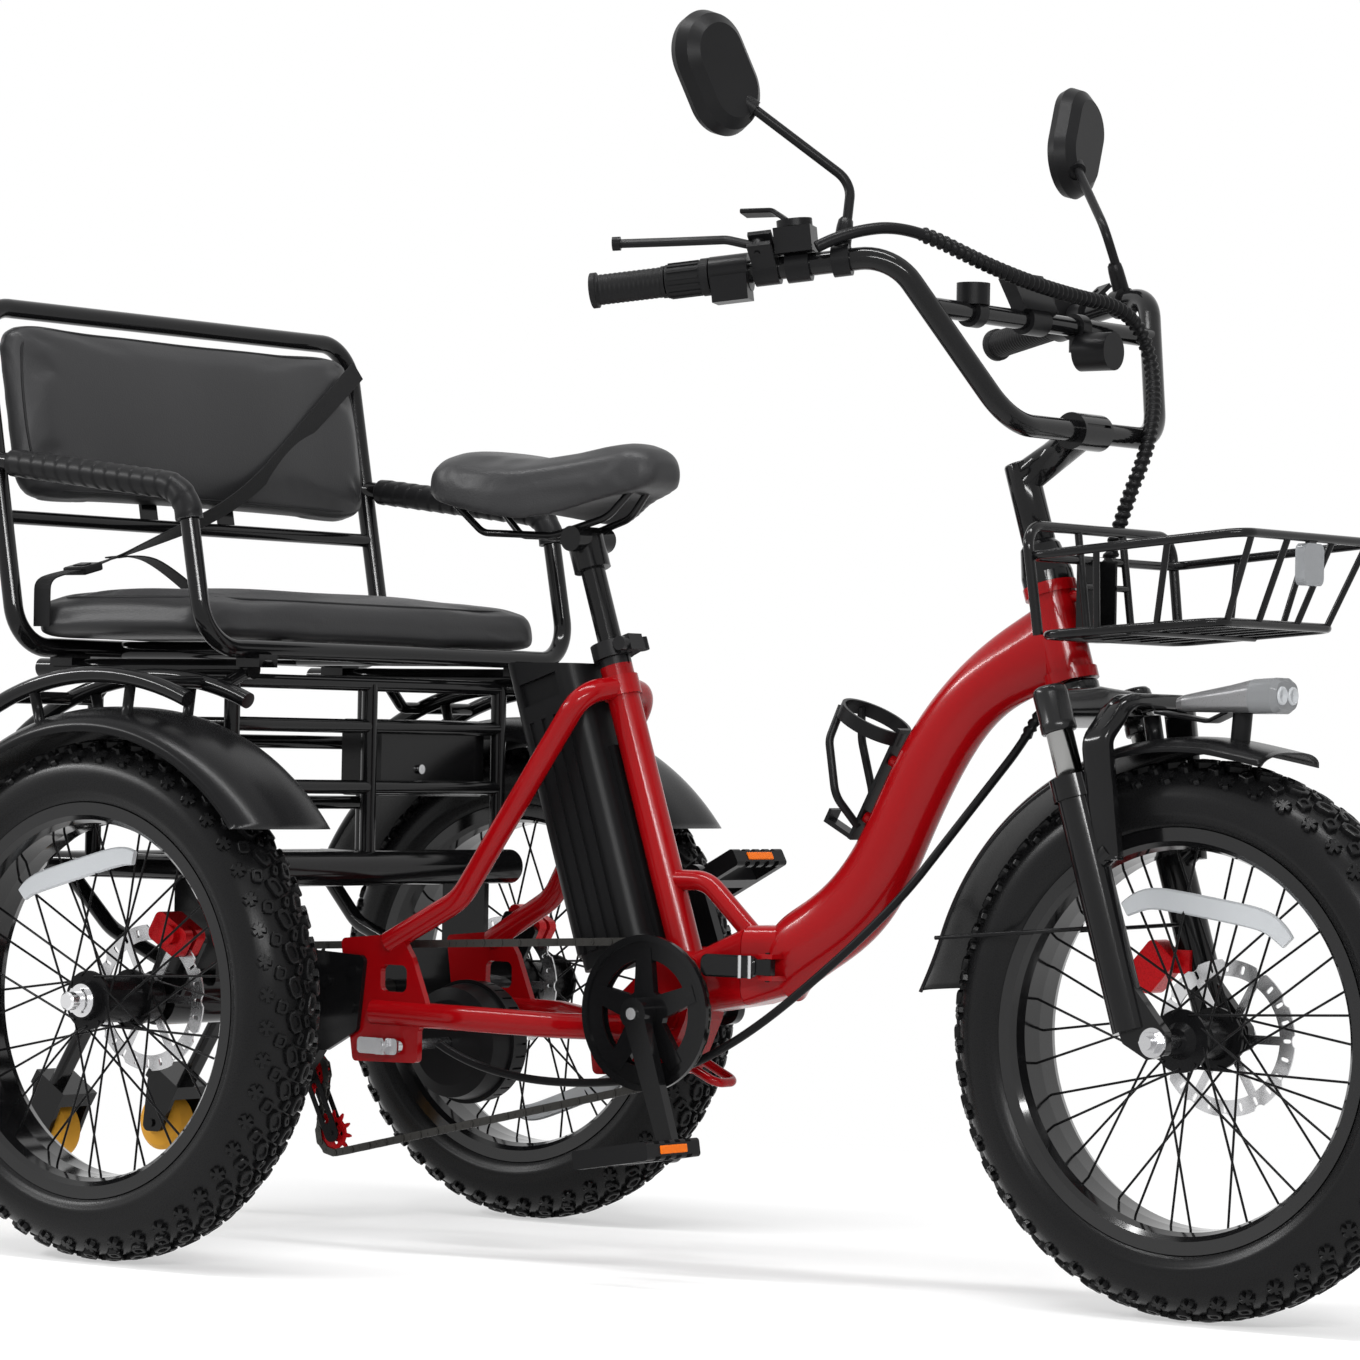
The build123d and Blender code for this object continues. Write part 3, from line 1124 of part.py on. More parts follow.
with BuildPart() as controller_box:
    with Locations(at(CAGE_FRONT - 42, 128, 550)):
        Box(60.0, 184.0, 88.0)
    fillet(controller_box.edges().filter_by(Axis.Y), 6.0)
    with Locations(at(CAGE_FRONT - 42, 128, 594)):
        with GridLocations(9.0, 1.0, 5, 1):
            Box(4.0, 168.0, 8.0, mode=Mode.SUBTRACT)
    for up in CROSS_FRONT:
        with Locations(at(CAGE_FRONT - 10, 128, up)):
            Box(8.0, 60.0, 14.0)
    rod(at(CAGE_FRONT - 14, 104, 537), at(CAGE_FRONT - 8, 104, 537), 5.5)
    for up in CROSS_FRONT:
        rod(at(CAGE_FRONT, -CAGE_Y, up), at(CAGE_FRONT, CAGE_Y, up), 8.0, mode=Mode.SUBTRACT)
keep(controller_box.part, "controller_box")

# Anti-tip rollers behind the axle
for name, side in (("roller_right", -1), ("roller_left", 1)):
    with BuildPart() as roller:
        turned(
            at(ROLLER_AT[0], side * ROLLER_Y, ROLLER_AT[1]),
            [
                (-20.0, 5.0 + GAP),
                (-20.0, 14.0),
                (-16.0, 28.0),
                (-11.0, ROLLER_RADIUS),
                (11.0, ROLLER_RADIUS),
                (16.0, 28.0),
                (20.0, 14.0),
                (20.0, 5.0 + GAP),
            ],
        )
    keep(roller.part, name)

# Passenger bench
BENCH_R = 11.0
BENCH_Y = 316.0
BASE_Z = RAIL_Z + RAIL_R + BENCH_R
BACK_X = -203.0
BACK_TOP = (-275.0, 1052.0)
FRONT_TUBE_X = 80.0
BACK_TILT = degrees(atan2(BACK_X - BACK_TOP[0], BACK_TOP[1] - BASE_Z))
BACK_PLANE = Plane(
    origin=at(-247, 0, 934),
    x_dir=(0, 1, 0),
    z_dir=(cos(radians(BACK_TILT)), 0, sin(radians(BACK_TILT))),
)
with BuildPart() as bench_frame:
    back = [at(BACK_X, -BENCH_Y, BASE_Z), at(BACK_TOP[0], -BENCH_Y, BACK_TOP[1])]
    hoop(back + mirrored(back)[::-1], BENCH_R, 46.0)
    arm = [at(-241, -BENCH_Y, 876), at(47, -BENCH_Y, 841), at(FRONT_TUBE_X, -BENCH_Y, BASE_Z)]
    tube(arm + mirrored(arm)[::-1], BENCH_R - 0.6, [42.0, 50.0, 50.0, 42.0])
    for side in (-1, 1):
        rod(at(BACK_X, side * 150, BASE_Z), at(FRONT_TUBE_X, side * 150, BASE_Z), BENCH_R - 1)
        for forward in (BACK_X, FRONT_TUBE_X):
            with Locations(at(forward, side * CAGE_Y, RAIL_Z + 9)):
                Box(34.0, 30.0, 14.0)
    rod(at(-231, -BENCH_Y, 813), at(-231, BENCH_Y, 813), 8.0)
    for side in (-1, 1):
        with Locations(BACK_PLANE.location):
            with Locations((side * 66, -103, -14.9)):
                Box(26.0, 46.0, 4.2)
        rod(at(-300, side * CAGE_Y, RAIL_Z), at(120, side * CAGE_Y, RAIL_Z), RAIL_R, mode=Mode.SUBTRACT)
keep(bench_frame.part, "bench_frame")

PAD_LOW = BASE_Z + BENCH_R + 0.3
PAD_HIGH = 735.0
PAD_X = -74.0
PAD_LONG = 270.0
PAD_HALF = 298.0
BACK_LONG = 206.0
BACK_HALF = 295.0


def cushion_cut(wide, low, high, crown):
    """Section of a stuffed pad: flat underside, round edges, and a top that rises by the crown."""
    half = wide / 2
    edge = 0.2 * (high - low)
    with BuildLine() as outline:
        Line((-half + edge, low), (half - edge, low))
        ThreePointArc((half - edge, low), (half, (low + high) / 2), (half - edge, high))
        ThreePointArc((half - edge, high), (0, high + crown), (-half + edge, high))
        ThreePointArc((-half + edge, high), (-half, (low + high) / 2), (-half + edge, low))
    make_face(outline.edges())


# Stations from the middle outwards: share of the half length, width, underside, edge height, crown
SEAT_PAD_STATIONS = [
    (0.0, 263.0, 0.0, 45.0, 11.0),
    (0.55, 266.0, 0.0, 44.0, 10.5),
    (0.88, PAD_LONG, 0.4, 43.0, 8.0),
    (0.965, 254.0, 4.0, 40.0, 5.0),
    (1.0, 214.0, 12.0, 30.0, 2.0),
]
BACK_PAD_STATIONS = [
    (0.0, 201.0, -12.0, 21.0, 9.0),
    (0.55, 203.0, -12.0, 21.0, 8.5),
    (0.88, BACK_LONG, -11.5, 20.0, 7.0),
    (0.965, 186.0, -9.0, 17.0, 5.0),
    (1.0, 150.0, -3.0, 9.0, 2.0),
]


def both_ways(stations):
    """The stations of a pad from one end, through the middle, to the other end."""
    return [(-s[0], *s[1:]) for s in stations[:0:-1]] + stations


with BuildPart() as bench_seat_pad:
    pad_sections = []
    for share, wide, low, high, crown in both_ways(SEAT_PAD_STATIONS):
        upright = Plane(
            origin=at(PAD_X, share * PAD_HALF, PAD_LOW), x_dir=(1, 0, 0), z_dir=(0, -1, 0)
        )
        with BuildSketch(upright) as cut:
            cushion_cut(wide, low, high, crown)
        pad_sections.append(cut.sketch)
    loft(sections=pad_sections)
keep(bench_seat_pad.part, "bench_seat_pad")

with BuildPart() as bench_back_pad:
    back_sections = []
    for share, wide, low, high, crown in both_ways(BACK_PAD_STATIONS):
        across = Plane(
            origin=BACK_PLANE.from_local_coords(Vector(share * BACK_HALF, 0, 0)),
            x_dir=BACK_PLANE.y_dir,
            z_dir=BACK_PLANE.x_dir,
        )
        with BuildSketch(across) as cut:
            cushion_cut(wide, low, high, crown)
        back_sections.append(cut.sketch)
    loft(sections=back_sections)
keep(bench_back_pad.part, "bench_back_pad")

ARM_GRIP = [(-216.0, 872.96), (47.0, 841.0), (53.8, 805.1)]
with BuildPart() as armrest_grips:
    for side in (-1, 1):
        route = [at(forward, side * BENCH_Y, up) for forward, up in ARM_GRIP]
        sleeve(route, BENCH_R + 4.5, BENCH_R, 42.0)
keep(armrest_grips.part, "armrest_grips")

# Seat belt: across the backrest from the left corner to a buckle, then round the pad's right end
BELT_W = 26.0
BELT_T = 2.0
BUCKLE = at(-182, -236, 757)
BELT_ROUTE = [
    tuple(BACK_PLANE.from_local_coords(Vector(284, 80, 32.6))),
    tuple(BACK_PLANE.from_local_coords(Vector(40, -98, 32.6))),
    at(-196, -140, 782),
    at(-182, -224, 760),
]
BELT_END = [at(-182, -247, 754), at(-182, -300.0, 744), at(-182, -300.0, 690)]
with BuildPart() as seat_belt:
    band(BELT_ROUTE, BELT_W, BELT_T, [40.0, 60.0], BACK_PLANE.y_dir)
    band(BELT_END, BELT_W, BELT_T, 12.0, (1, 0, 0))
    with Locations(Location(BUCKLE, (14, 0, 0))):
        Box(34.0, 30.0, 9.0)
keep(seat_belt.part, "seat_belt")

# Fork: crown with steerer and stanchions pressed in, and the sliding lower legs with their arch
LEG_U = 20.0
LEG_V = 80.0
LEG_R = 19.0
STANCHION_R = 14.0
LEG_TOP = -107.0
LEG_FOOT = -370.0
CROWN_LOW = -47.0
CROWN_HIGH = -8.0
AXLE_U = 45.5
AXLE_W = -388.3
with BuildPart() as fork_crown:
    with BuildSketch(Plane(fork(0, 0, CROWN_LOW), x_dir=STEER.x_dir, z_dir=STEER.z_dir)) as crown:
        with BuildLine():
            Polyline(
                (65, 44), (42, 98), (-2, 98), (-25, 40), (-25, -40), (-2, -98), (42, -98), (65, -44),
                close=True,
            )
        make_face()
        fillet(crown.vertices(), 9.0)
    extrude(to_extrude=crown.sketch, amount=CROWN_HIGH - CROWN_LOW)
    top_edges = fork_crown.faces().filter_by(Plane(fork(0, 0, CROWN_HIGH), z_dir=STEER.z_dir))
    chamfer(top_edges.sort_by(SortBy.AREA)[-1].edges(), 7.0)
    for side in (-1, 1):
        rod(fork(LEG_U, side * LEG_V, -60), fork(LEG_U, side * LEG_V, -20), LEG_R + 1)
        rod(fork(LEG_U, side * LEG_V, -230), fork(LEG_U, side * LEG_V, -22), STANCHION_R)
    rod(fork(0, 0, CROWN_HIGH - 4), fork(0, 0, -GAP), HEAD_R + 1)
    rod(fork(0, 0, CROWN_LOW), fork(0, 0, 140), STEERER_R)
keep(fork_crown.part, "fork_crown")

with BuildPart() as fork_lowers:
    for side in (-1, 1):
        rod(fork(LEG_U, side * LEG_V, LEG_FOOT), fork(LEG_U, side * LEG_V, LEG_TOP), LEG_R)
        rod(fork(LEG_U, side * LEG_V, LEG_TOP - 23), fork(LEG_U, side * LEG_V, LEG_TOP), LEG_R + 3)
        with BuildSketch(
            Plane(fork(0, side * LEG_V, 0), x_dir=STEER.x_dir, z_dir=(0, -1, 0))
        ) as foot:
            with BuildLine():
                Polyline(
                    (LEG_U - 14, LEG_FOOT + 46),
                    (LEG_U + 16, LEG_FOOT + 46),
                    (AXLE_U + 16, AXLE_W + 6),
                    (AXLE_U + 10, AXLE_W - 15),
                    (AXLE_U - 12, AXLE_W - 15),
                    (LEG_U - 10, LEG_FOOT - 10),
                    close=True,
                )
            make_face()
            fillet(foot.vertices(), 6.0)
        extrude(to_extrude=foot.sketch, amount=6.0, both=True)
    arch = [
        fork(40, -LEG_V, -196),
        fork(62, -LEG_V - 2, -78),
        fork(84, -56, -46),
        fork(84, 56, -46),
        fork(62, LEG_V + 2, -78),
        fork(40, LEG_V, -196),
    ]
    band(arch, 22.0, 13.0, [22.0, 18.0, 18.0, 22.0], STEER.x_dir)
    for side in (-1, 1):
        rod(fork(24, side * LEG_V, -200), fork(46, side * LEG_V, -190), 11.0)
        rod(
            fork(LEG_U, side * LEG_V, -262),
            fork(LEG_U, side * LEG_V, LEG_TOP + 1),
            STANCHION_R + GAP,
            mode=Mode.SUBTRACT,
        )
    rod(
        (FRONT_AXLE[0], -120, TYRE_R), (FRONT_AXLE[0], 120, TYRE_R), AXLE_R, mode=Mode.SUBTRACT
    )
keep(fork_lowers.part, "fork_lowers")

with BuildPart() as front_axle:
    rod((FRONT_AXLE[0], -102, TYRE_R), (FRONT_AXLE[0], 102, TYRE_R), AXLE_R)
    for side in (-1, 1):
        with BuildSketch(side_plane(side * 91.5)) as nut:
            with Locations((FRONT_AXLE[0], TYRE_R)):
                RegularPolygon(11.5, 6)
        extrude(to_extrude=nut.sketch, amount=4.5, both=True)
        rod((FRONT_AXLE[0], side * 86.2, TYRE_R), (FRONT_AXLE[0], side * 88.5, TYRE_R), 15.0)
keep(front_axle.part, "front_axle")

FENDER_HALF = 58.0
FENDER_CROWN = 305.0
FENDER_EDGE = 291.0
FENDER_T = 2.5
ARCH_ANGLE = 100.7
with BuildPart() as front_fender:
    with BuildSketch(spin_plane(FRONT_AXLE, 173.0)) as shell:
        with BuildLine():
            ThreePointArc((-FENDER_HALF, FENDER_EDGE), (0, FENDER_CROWN), (FENDER_HALF, FENDER_EDGE))
            Line((FENDER_HALF, FENDER_EDGE), (FENDER_HALF - FENDER_T, FENDER_EDGE - 1))
            ThreePointArc(
                (FENDER_HALF - FENDER_T, FENDER_EDGE - 1),
                (0, FENDER_CROWN - FENDER_T),
                (FENDER_T - FENDER_HALF, FENDER_EDGE - 1),
            )
            Line((FENDER_T - FENDER_HALF, FENDER_EDGE - 1), (-FENDER_HALF, FENDER_EDGE))
        make_face()
    revolve(profiles=shell.sketch, axis=Axis(FRONT_AXLE, (0, 1, 0)), revolution_arc=103.0)
    turn = radians(ARCH_ANGLE)
    rod(
        at(WHEELBASE + 303 * cos(turn), 0, TYRE_R + 303 * sin(turn)),
        at(WHEELBASE + 333 * cos(turn), 0, TYRE_R + 333 * sin(turn)),
        9.0,
    )
    for side in (-1, 1):
        rod(at(866, side * 55.5, 376), at(1092, side * 58.0, 396), 2.2)
keep(front_fender.part, "front_fender")

with BuildPart() as headlight:
    lamp_sections = []
    for forward, up, wide, high in (
        (1126, 620, 30, 13), (1134, 621, 36, 17), (1190, 626, 46, 28), (1216, 628.5, 50, 35),
        (1240, 629.5, 50, 36), (1246, 629.5, 42, 28),
    ):
        with BuildSketch(Plane(at(forward, 0, up), x_dir=(0, 1, 0), z_dir=(1, 0, 0))) as cut:
            RectangleRounded(wide, high, high * 0.38)
        lamp_sections.append(cut.sketch)
    loft(sections=lamp_sections, ruled=True)
    band([at(1099, 0, 612), at(1160, 0, 603), at(1190, 0, 616)], 26.0, 4.0, 12.0, (0, 1, 0))
    rod(at(1192, 0, 575), at(1196, 0, 618), 10.0)
    rod((FRONT_AXLE[0], -30, TYRE_R), (FRONT_AXLE[0], 30, TYRE_R), FENDER_CROWN, mode=Mode.SUBTRACT)
keep(headlight.part, "headlight")

FRONT_CALIPER = (1064.0, 352.0)
with BuildPart() as front_caliper:
    with BuildSketch(side_plane(56.0)) as body:
        with Locations(Location((REAR_AXLE_X + FRONT_CALIPER[0], FRONT_CALIPER[1]), 48.0)):
            RectangleRounded(50.0, 38.0, 9.0)
    extrude(to_extrude=body.sketch, amount=12.0, both=True)
    with Locations((FRONT_AXLE[0], ROTOR_FRONT_Y, TYRE_R)):
        Cylinder(ROTOR_R + 3, ROTOR_T + 1.6, rotation=(90, 0, 0), mode=Mode.SUBTRACT)
    rod(fork(LEG_U, LEG_V, -360), fork(LEG_U, LEG_V, -200), LEG_R + 0.2, mode=Mode.SUBTRACT)
    with Locations(at(1082, 58.2, 358)):
        Box(44.0, 5.0, 24.0)
keep(front_caliper.part, "front_caliper")

# Stem and handlebar
BAR_R = 11.5
BAR_MID = at(1002, 0, 898)
with BuildPart() as stem:
    with BuildSketch(Plane(STEER.origin, x_dir=STEER.x_dir, z_dir=(0, -1, 0))) as cone:
        with BuildLine():
            Polyline(
                (0, HEAD_LENGTH + GAP),
                (HEAD_R + 2, HEAD_LENGTH + GAP),
                (HEAD_R + 2, 116),
                (21, 146),
                (STEERER_R + 2, 152),
                (STEERER_R + 2, 228),
                (STEERER_R - 2, 235),
                (0, 235),
                close=True,
            )
        make_face()
    revolve(profiles=cone.sketch, axis=Axis(STEER.origin, STEER.z_dir))
    rod(at(926, 0, 854), BAR_MID, 14.0)
    rod((BAR_MID[0], -26, BAR_MID[2]), (BAR_MID[0], 26, BAR_MID[2]), 19.0)
    rod((BAR_MID[0], -27, BAR_MID[2]), (BAR_MID[0], 27, BAR_MID[2]), BAR_R, mode=Mode.SUBTRACT)
    with Locations((BAR_MID[0] + 20, 0, BAR_MID[2] + 6)):
        Box(12.0, 44.0, 3.0, mode=Mode.SUBTRACT)
    rod(fork(0, 0, HEAD_LENGTH), fork(0, 0, 140.2), STEERER_R + 0.1, mode=Mode.SUBTRACT)
keep(stem.part, "stem")

BAR_END = at(650, -366, 1027)
BAR_KNEE = at(926, -241, 1062)
BAR_FOOT = at(1002, -138, 898)
BAR_B = (Vector(*BAR_KNEE) - Vector(*BAR_END)).normalized()
BAR_N = Vector(BAR_B.Y, -BAR_B.X, 0).normalized()
BAR_K = BAR_N.cross(BAR_B)
LEVER_RISE = radians(40.0)
CROSS_SHARE = 0.695


def to_side(vector, side):
    """A vector given for the right side, turned over for the left where side is 1."""
    return (vector.X, -side * vector.Y, vector.Z)


def bar(side, inward, out=0.0, up=0.0):
    """A point on one end of the handlebar: inward from its end, out in front of it, up from it."""
    return to_side(Vector(*BAR_END) + BAR_B * inward + BAR_N * out + BAR_K * up, side)


def reach(side, inward, off):
    """A point off the handlebar on the plane in which the brake lever lies."""
    return bar(side, inward, off * cos(LEVER_RISE), off * sin(LEVER_RISE))


HALF_BAR = [BAR_END, BAR_KNEE, BAR_FOOT]
with BuildPart() as handlebar:
    tube(HALF_BAR + mirrored(HALF_BAR)[::-1], BAR_R, [55.0, 65.0, 65.0, 55.0])
    cross = Vector(*BAR_FOOT) + (Vector(*BAR_KNEE) - Vector(*BAR_FOOT)) * CROSS_SHARE
    rod((cross.X, cross.Y + 3, cross.Z), (cross.X, -cross.Y - 3, cross.Z), 10.0)
keep(handlebar.part, "handlebar")

GRIP_R = 16.0
GRIP_SPAN = {-1: 73.0, 1: 122.0}
with BuildPart() as grips:
    for side, span in GRIP_SPAN.items():
        rod(bar(side, -4), bar(side, span), GRIP_R)
        rod(bar(side, 0), bar(side, span + 1), BAR_R, mode=Mode.SUBTRACT)
    for side, span in GRIP_SPAN.items():
        rod(bar(side, -4), bar(side, 2), GRIP_R + 2)
        rod(bar(side, 0), bar(side, 3), BAR_R, mode=Mode.SUBTRACT)
keep(grips.part, "grips")

THROTTLE_SPAN = (74.5, 119.0)
with BuildPart() as twist_throttle:
    rod(bar(-1, THROTTLE_SPAN[0]), bar(-1, THROTTLE_SPAN[1]), GRIP_R + 1)
    rod(bar(-1, THROTTLE_SPAN[1] - 8), bar(-1, THROTTLE_SPAN[1]), GRIP_R + 3)
    spin = Plane(origin=bar(-1, 93), x_dir=tuple(BAR_N), z_dir=tuple(BAR_B))
    with Locations(spin.location):
        with PolarLocations(GRIP_R + 1, 14):
            Box(2.4, 2.6, 32.0)
    rod(bar(-1, 70), bar(-1, 125), BAR_R + GAP, mode=Mode.SUBTRACT)
keep(twist_throttle.part, "twist_throttle")

LEVER_PIVOT = (175.0, 34.0)
LEVER_AXIS = BAR_B.cross(BAR_N * cos(LEVER_RISE) + BAR_K * sin(LEVER_RISE))
MIRROR_CLAMP = 254.0
MIRROR_NECK = at(796, -299, 1208)
STALK = [at(878, -253, 1092), at(871, -236, 1137), MIRROR_NECK]
with BuildPart() as control_clusters:
    for side in (-1, 1):
        axis = Vector(*to_side(LEVER_AXIS, side))
        rod(bar(side, 165), bar(side, 190), BAR_R + 4.5)
        perch = Plane(origin=reach(side, 178, 25), x_dir=to_side(BAR_B, side), z_dir=tuple(axis))
        with Locations(perch.location):
            Box(24.0, 38.0, 21.0)
        slot = Plane(origin=reach(side, 168, 40), x_dir=to_side(BAR_B, side), z_dir=tuple(axis))
        with Locations(slot.location):
            Box(50.0, 31.0, 10.8, mode=Mode.SUBTRACT)
        pin = Vector(*reach(side, *LEVER_PIVOT))
        rod(tuple(pin - axis * 15), tuple(pin + axis * 15), 3.0, mode=Mode.SUBTRACT)
        rod(bar(side, MIRROR_CLAMP - 9), bar(side, MIRROR_CLAMP + 9), BAR_R + 4.5)
        stalk = [Vector(*bar(-1, MIRROR_CLAMP, 0, 8))] + [Vector(*p) for p in STALK]
        tube([to_side(p, side) for p in stalk], 5.0, [16.0, 28.0])
    rod(bar(-1, 120.5), bar(-1, 160), BAR_R + 8)
    throttle_box = Plane(origin=bar(-1, 141, 8, -16), x_dir=tuple(BAR_B), z_dir=tuple(BAR_K))
    with Locations(throttle_box.location):
        Box(37.0, 30.0, 26.0)
    rod(bar(-1, 198), bar(-1, 222), BAR_R + 5)
    shifter_pod = Plane(origin=bar(-1, 210, 5, 25), x_dir=tuple(BAR_B), z_dir=tuple(BAR_K))
    with Locations(shifter_pod.location):
        Box(38.0, 37.0, 26.0)
    rod(bar(1, 126), bar(1, 160), BAR_R + 8)
    switch_box = Plane(
        origin=bar(1, 144, -6, 8), x_dir=to_side(BAR_B, 1), z_dir=to_side(BAR_K, 1)
    )
    with Locations(switch_box.location):
        Box(33.0, 40.0, 34.0)
    for y_clamp, wide in ((-130.0, 16.0), (-22.0, 34.0)):
        rod((cross.X, y_clamp - wide / 2, cross.Z), (cross.X, y_clamp + wide / 2, cross.Z), 15.0)
    rod((cross.X, -130, cross.Z + 8), (cross.X, -130, cross.Z + 30), 17.0)
    with Locations(Location((cross.X - 4, -22, cross.Z + 26), (0, -28, 0))):
        Box(16.0, 62.0, 44.0)
    rod((cross.X + 6, 64, cross.Z - 26), (cross.X + 46, 64, cross.Z - 26), 20.0)
    rod((cross.X, 64, cross.Z - 26), (cross.X, 64, cross.Z), 8.0)
    rod((cross.X, 56, cross.Z), (cross.X, 72, cross.Z), 14.0)
    rod((cross.X, -150, cross.Z), (cross.X, 90, cross.Z), 10.05, mode=Mode.SUBTRACT)
    for side in (-1, 1):
        rod(bar(side, 115), bar(side, 275), BAR_R + 0.05, mode=Mode.SUBTRACT)
keep(control_clusters.part, "control_clusters")

for name, side in (("brake_lever_right", -1), ("brake_lever_left", 1)):
    axis = Vector(*to_side(LEVER_AXIS, side))
    with BuildPart() as brake_lever:
        pin = Vector(*reach(side, *LEVER_PIVOT))
        rod(tuple(pin - axis * 5), tuple(pin + axis * 5), 7.0)
        rod(tuple(pin - axis * 12), tuple(pin + axis * 12), 2.6)
        blade = [reach(side, 172, 34), reach(side, 146, 47), reach(side, 92, 53), reach(side, 34, 60)]
        band(blade, 9.4, 7.0, [24.0, 60.0], tuple(axis))
        rod(reach(side, 32, 60.2), reach(side, 40, 59.4), 7.0)
    keep(brake_lever.part, name)

with BuildPart() as shifter_lever:
    rod(bar(-1, 210, 4, 38.7), bar(-1, 210, 4, 46), 18.0)
    band(
        [bar(-1, 206, 4, 43.5), bar(-1, 190, -6, 57), bar(-1, 156, -14, 61)],
        20.0,
        5.0,
        14.0,
        tuple(BAR_N),
    )
keep(shifter_lever.part, "shifter_lever")

MIRROR_HEAD = at(769, -331, 1243)
MIRROR_LONG = Vector(-18, -60, 112).normalized()
MIRROR_FACE = (Vector(-1, 0.1, 0) - MIRROR_LONG * Vector(-1, 0.1, 0).dot(MIRROR_LONG)).normalized()
for name, side in (("mirror_right", -1), ("mirror_left", 1)):
    with BuildPart() as mirror_head:
        middle = to_side(Vector(*MIRROR_HEAD), side)
        facing = Plane(
            origin=middle, x_dir=to_side(MIRROR_LONG, side), z_dir=to_side(MIRROR_FACE, side)
        )
        layers = []
        for out, long, wide, corner in (
            (9.0, 124.0, 84.0, 41.0),
            (0.0, 130.0, 92.0, 45.0),
            (-12.0, 120.0, 83.0, 40.5),
            (-20.0, 98.0, 62.0, 30.0),
        ):
            with BuildSketch(facing.offset(out)) as layer:
                RectangleRounded(long, wide, corner)
            layers.append(layer.sketch)
        loft(sections=layers, ruled=True)
        with BuildSketch(facing.offset(9.0)) as glass:
            RectangleRounded(114.0, 74.0, 36.0)
        extrude(to_extrude=glass.sketch, amount=-1.5, mode=Mode.SUBTRACT)
        neck = Vector(*to_side(Vector(*MIRROR_NECK), side))
        way = (neck - Vector(*to_side(Vector(*STALK[1]), side))).normalized()
        rod(tuple(neck - way * 40), tuple(neck + way * 0.4), 11.0, mode=Mode.SUBTRACT)
        rod(tuple(neck + way * 0.4), tuple(neck + way * 16), 9.0)
        rod(tuple(neck + way * 8), middle, 7.0)
    keep(mirror_head.part, name)

# Basket: wire sides on two loops, a taller hoop at the back, and the bracket that bolts to the head tube
BASKET_WIRE = 3.4
RIM_WIRE = 4.6
HOOP_WIRE = 5.3
HOOP_TOP = 796.0
REFLECTOR_WIDE = 38.0
REFLECTOR_HIGH = 42.0
RIM_LOOP = [at(1024, -138, 765), at(1024, 138, 765), at(1270, 132, 787), at(1270, -132, 787)]
FLOOR_LOOP = [at(1037, -134, 686), at(1037, 134, 686), at(1233, 113, 700), at(1233, -113, 700)]


def between(a, b, share):
    """The point part of the way from one point to another."""
    return tuple(Vector(*a) + (Vector(*b) - Vector(*a)) * share)


with BuildPart() as basket:
    hoop(RIM_LOOP, RIM_WIRE, 22.0)
    hoop(FLOOR_LOOP, RIM_WIRE, 22.0)
    for share in (0.33, 0.66):
        for side in (-1, 1):
            low = between(FLOOR_LOOP[1], FLOOR_LOOP[2], share)
            high = between(RIM_LOOP[1], RIM_LOOP[2], share)
            rod((low[0], side * low[1], low[2]), (high[0], side * high[1], high[2]), BASKET_WIRE)
    for share in (-0.86, -0.33, 0.33, 0.86):
        rod(
            (FLOOR_LOOP[2][0], share * FLOOR_LOOP[2][1], FLOOR_LOOP[2][2]),
            (RIM_LOOP[2][0], share * RIM_LOOP[2][1], RIM_LOOP[2][2]),
            BASKET_WIRE,
        )
    for y_wire in (-92.0, -55.0, -18.0, 18.0, 55.0, 92.0):
        rod(
            (FLOOR_LOOP[1][0] - 1, y_wire, FLOOR_LOOP[1][2]),
            (FLOOR_LOOP[2][0] + 1, y_wire, FLOOR_LOOP[2][2]),
            BASKET_WIRE - 0.6,
        )
    rod(at(1135, -121, 690), at(1135, 121, 690), BASKET_WIRE)
    tall = [at(1037, -134, 686), at(1023, -138, HOOP_TOP), at(1023, 138, HOOP_TOP), at(1037, 134, 686)]
    tube(tall, HOOP_WIRE, 24.0)
    for side in (-1, 1):
        rod(at(1037, side * 42, 686), at(1023, side * 42, HOOP_TOP), BASKET_WIRE + 0.6)
    rod(at(1030.5, -42, 738), at(1030.5, 42, 738), BASKET_WIRE)
    with Locations(at(BASKET_BACK + 12, 0, 724)):
        Box(23.6, 40.0, 84.0)
    with Locations(at(BASKET_BACK + 17, 0, 724)):
        Box(25.0, 33.0, 90.0, mode=Mode.SUBTRACT)
    with BuildSketch(Plane(at(1263.5, 0, 760), x_dir=(0, 1, 0), z_dir=(1, 0, 0))) as lens:
        RectangleRounded(REFLECTOR_WIDE, REFLECTOR_HIGH, 8.0)
    extrude(to_extrude=lens.sketch, amount=11.0)
    with Locations(at(1270, 0, 779)):
        Box(5.0, 14.0, 16.0)
keep(basket.part, "basket")

# Bottle cage on the back of the main tube
CAGE_ARM_R = 4.4


def on_cage(angle, up):
    """A point on the bottle's round side: the angle is from the main tube, the height along the bottle."""
    turn = radians(angle)
    return tuple(CAGE_AXIS.from_local_coords(Vector(CAGE_R * cos(turn), CAGE_R * sin(turn), up)))


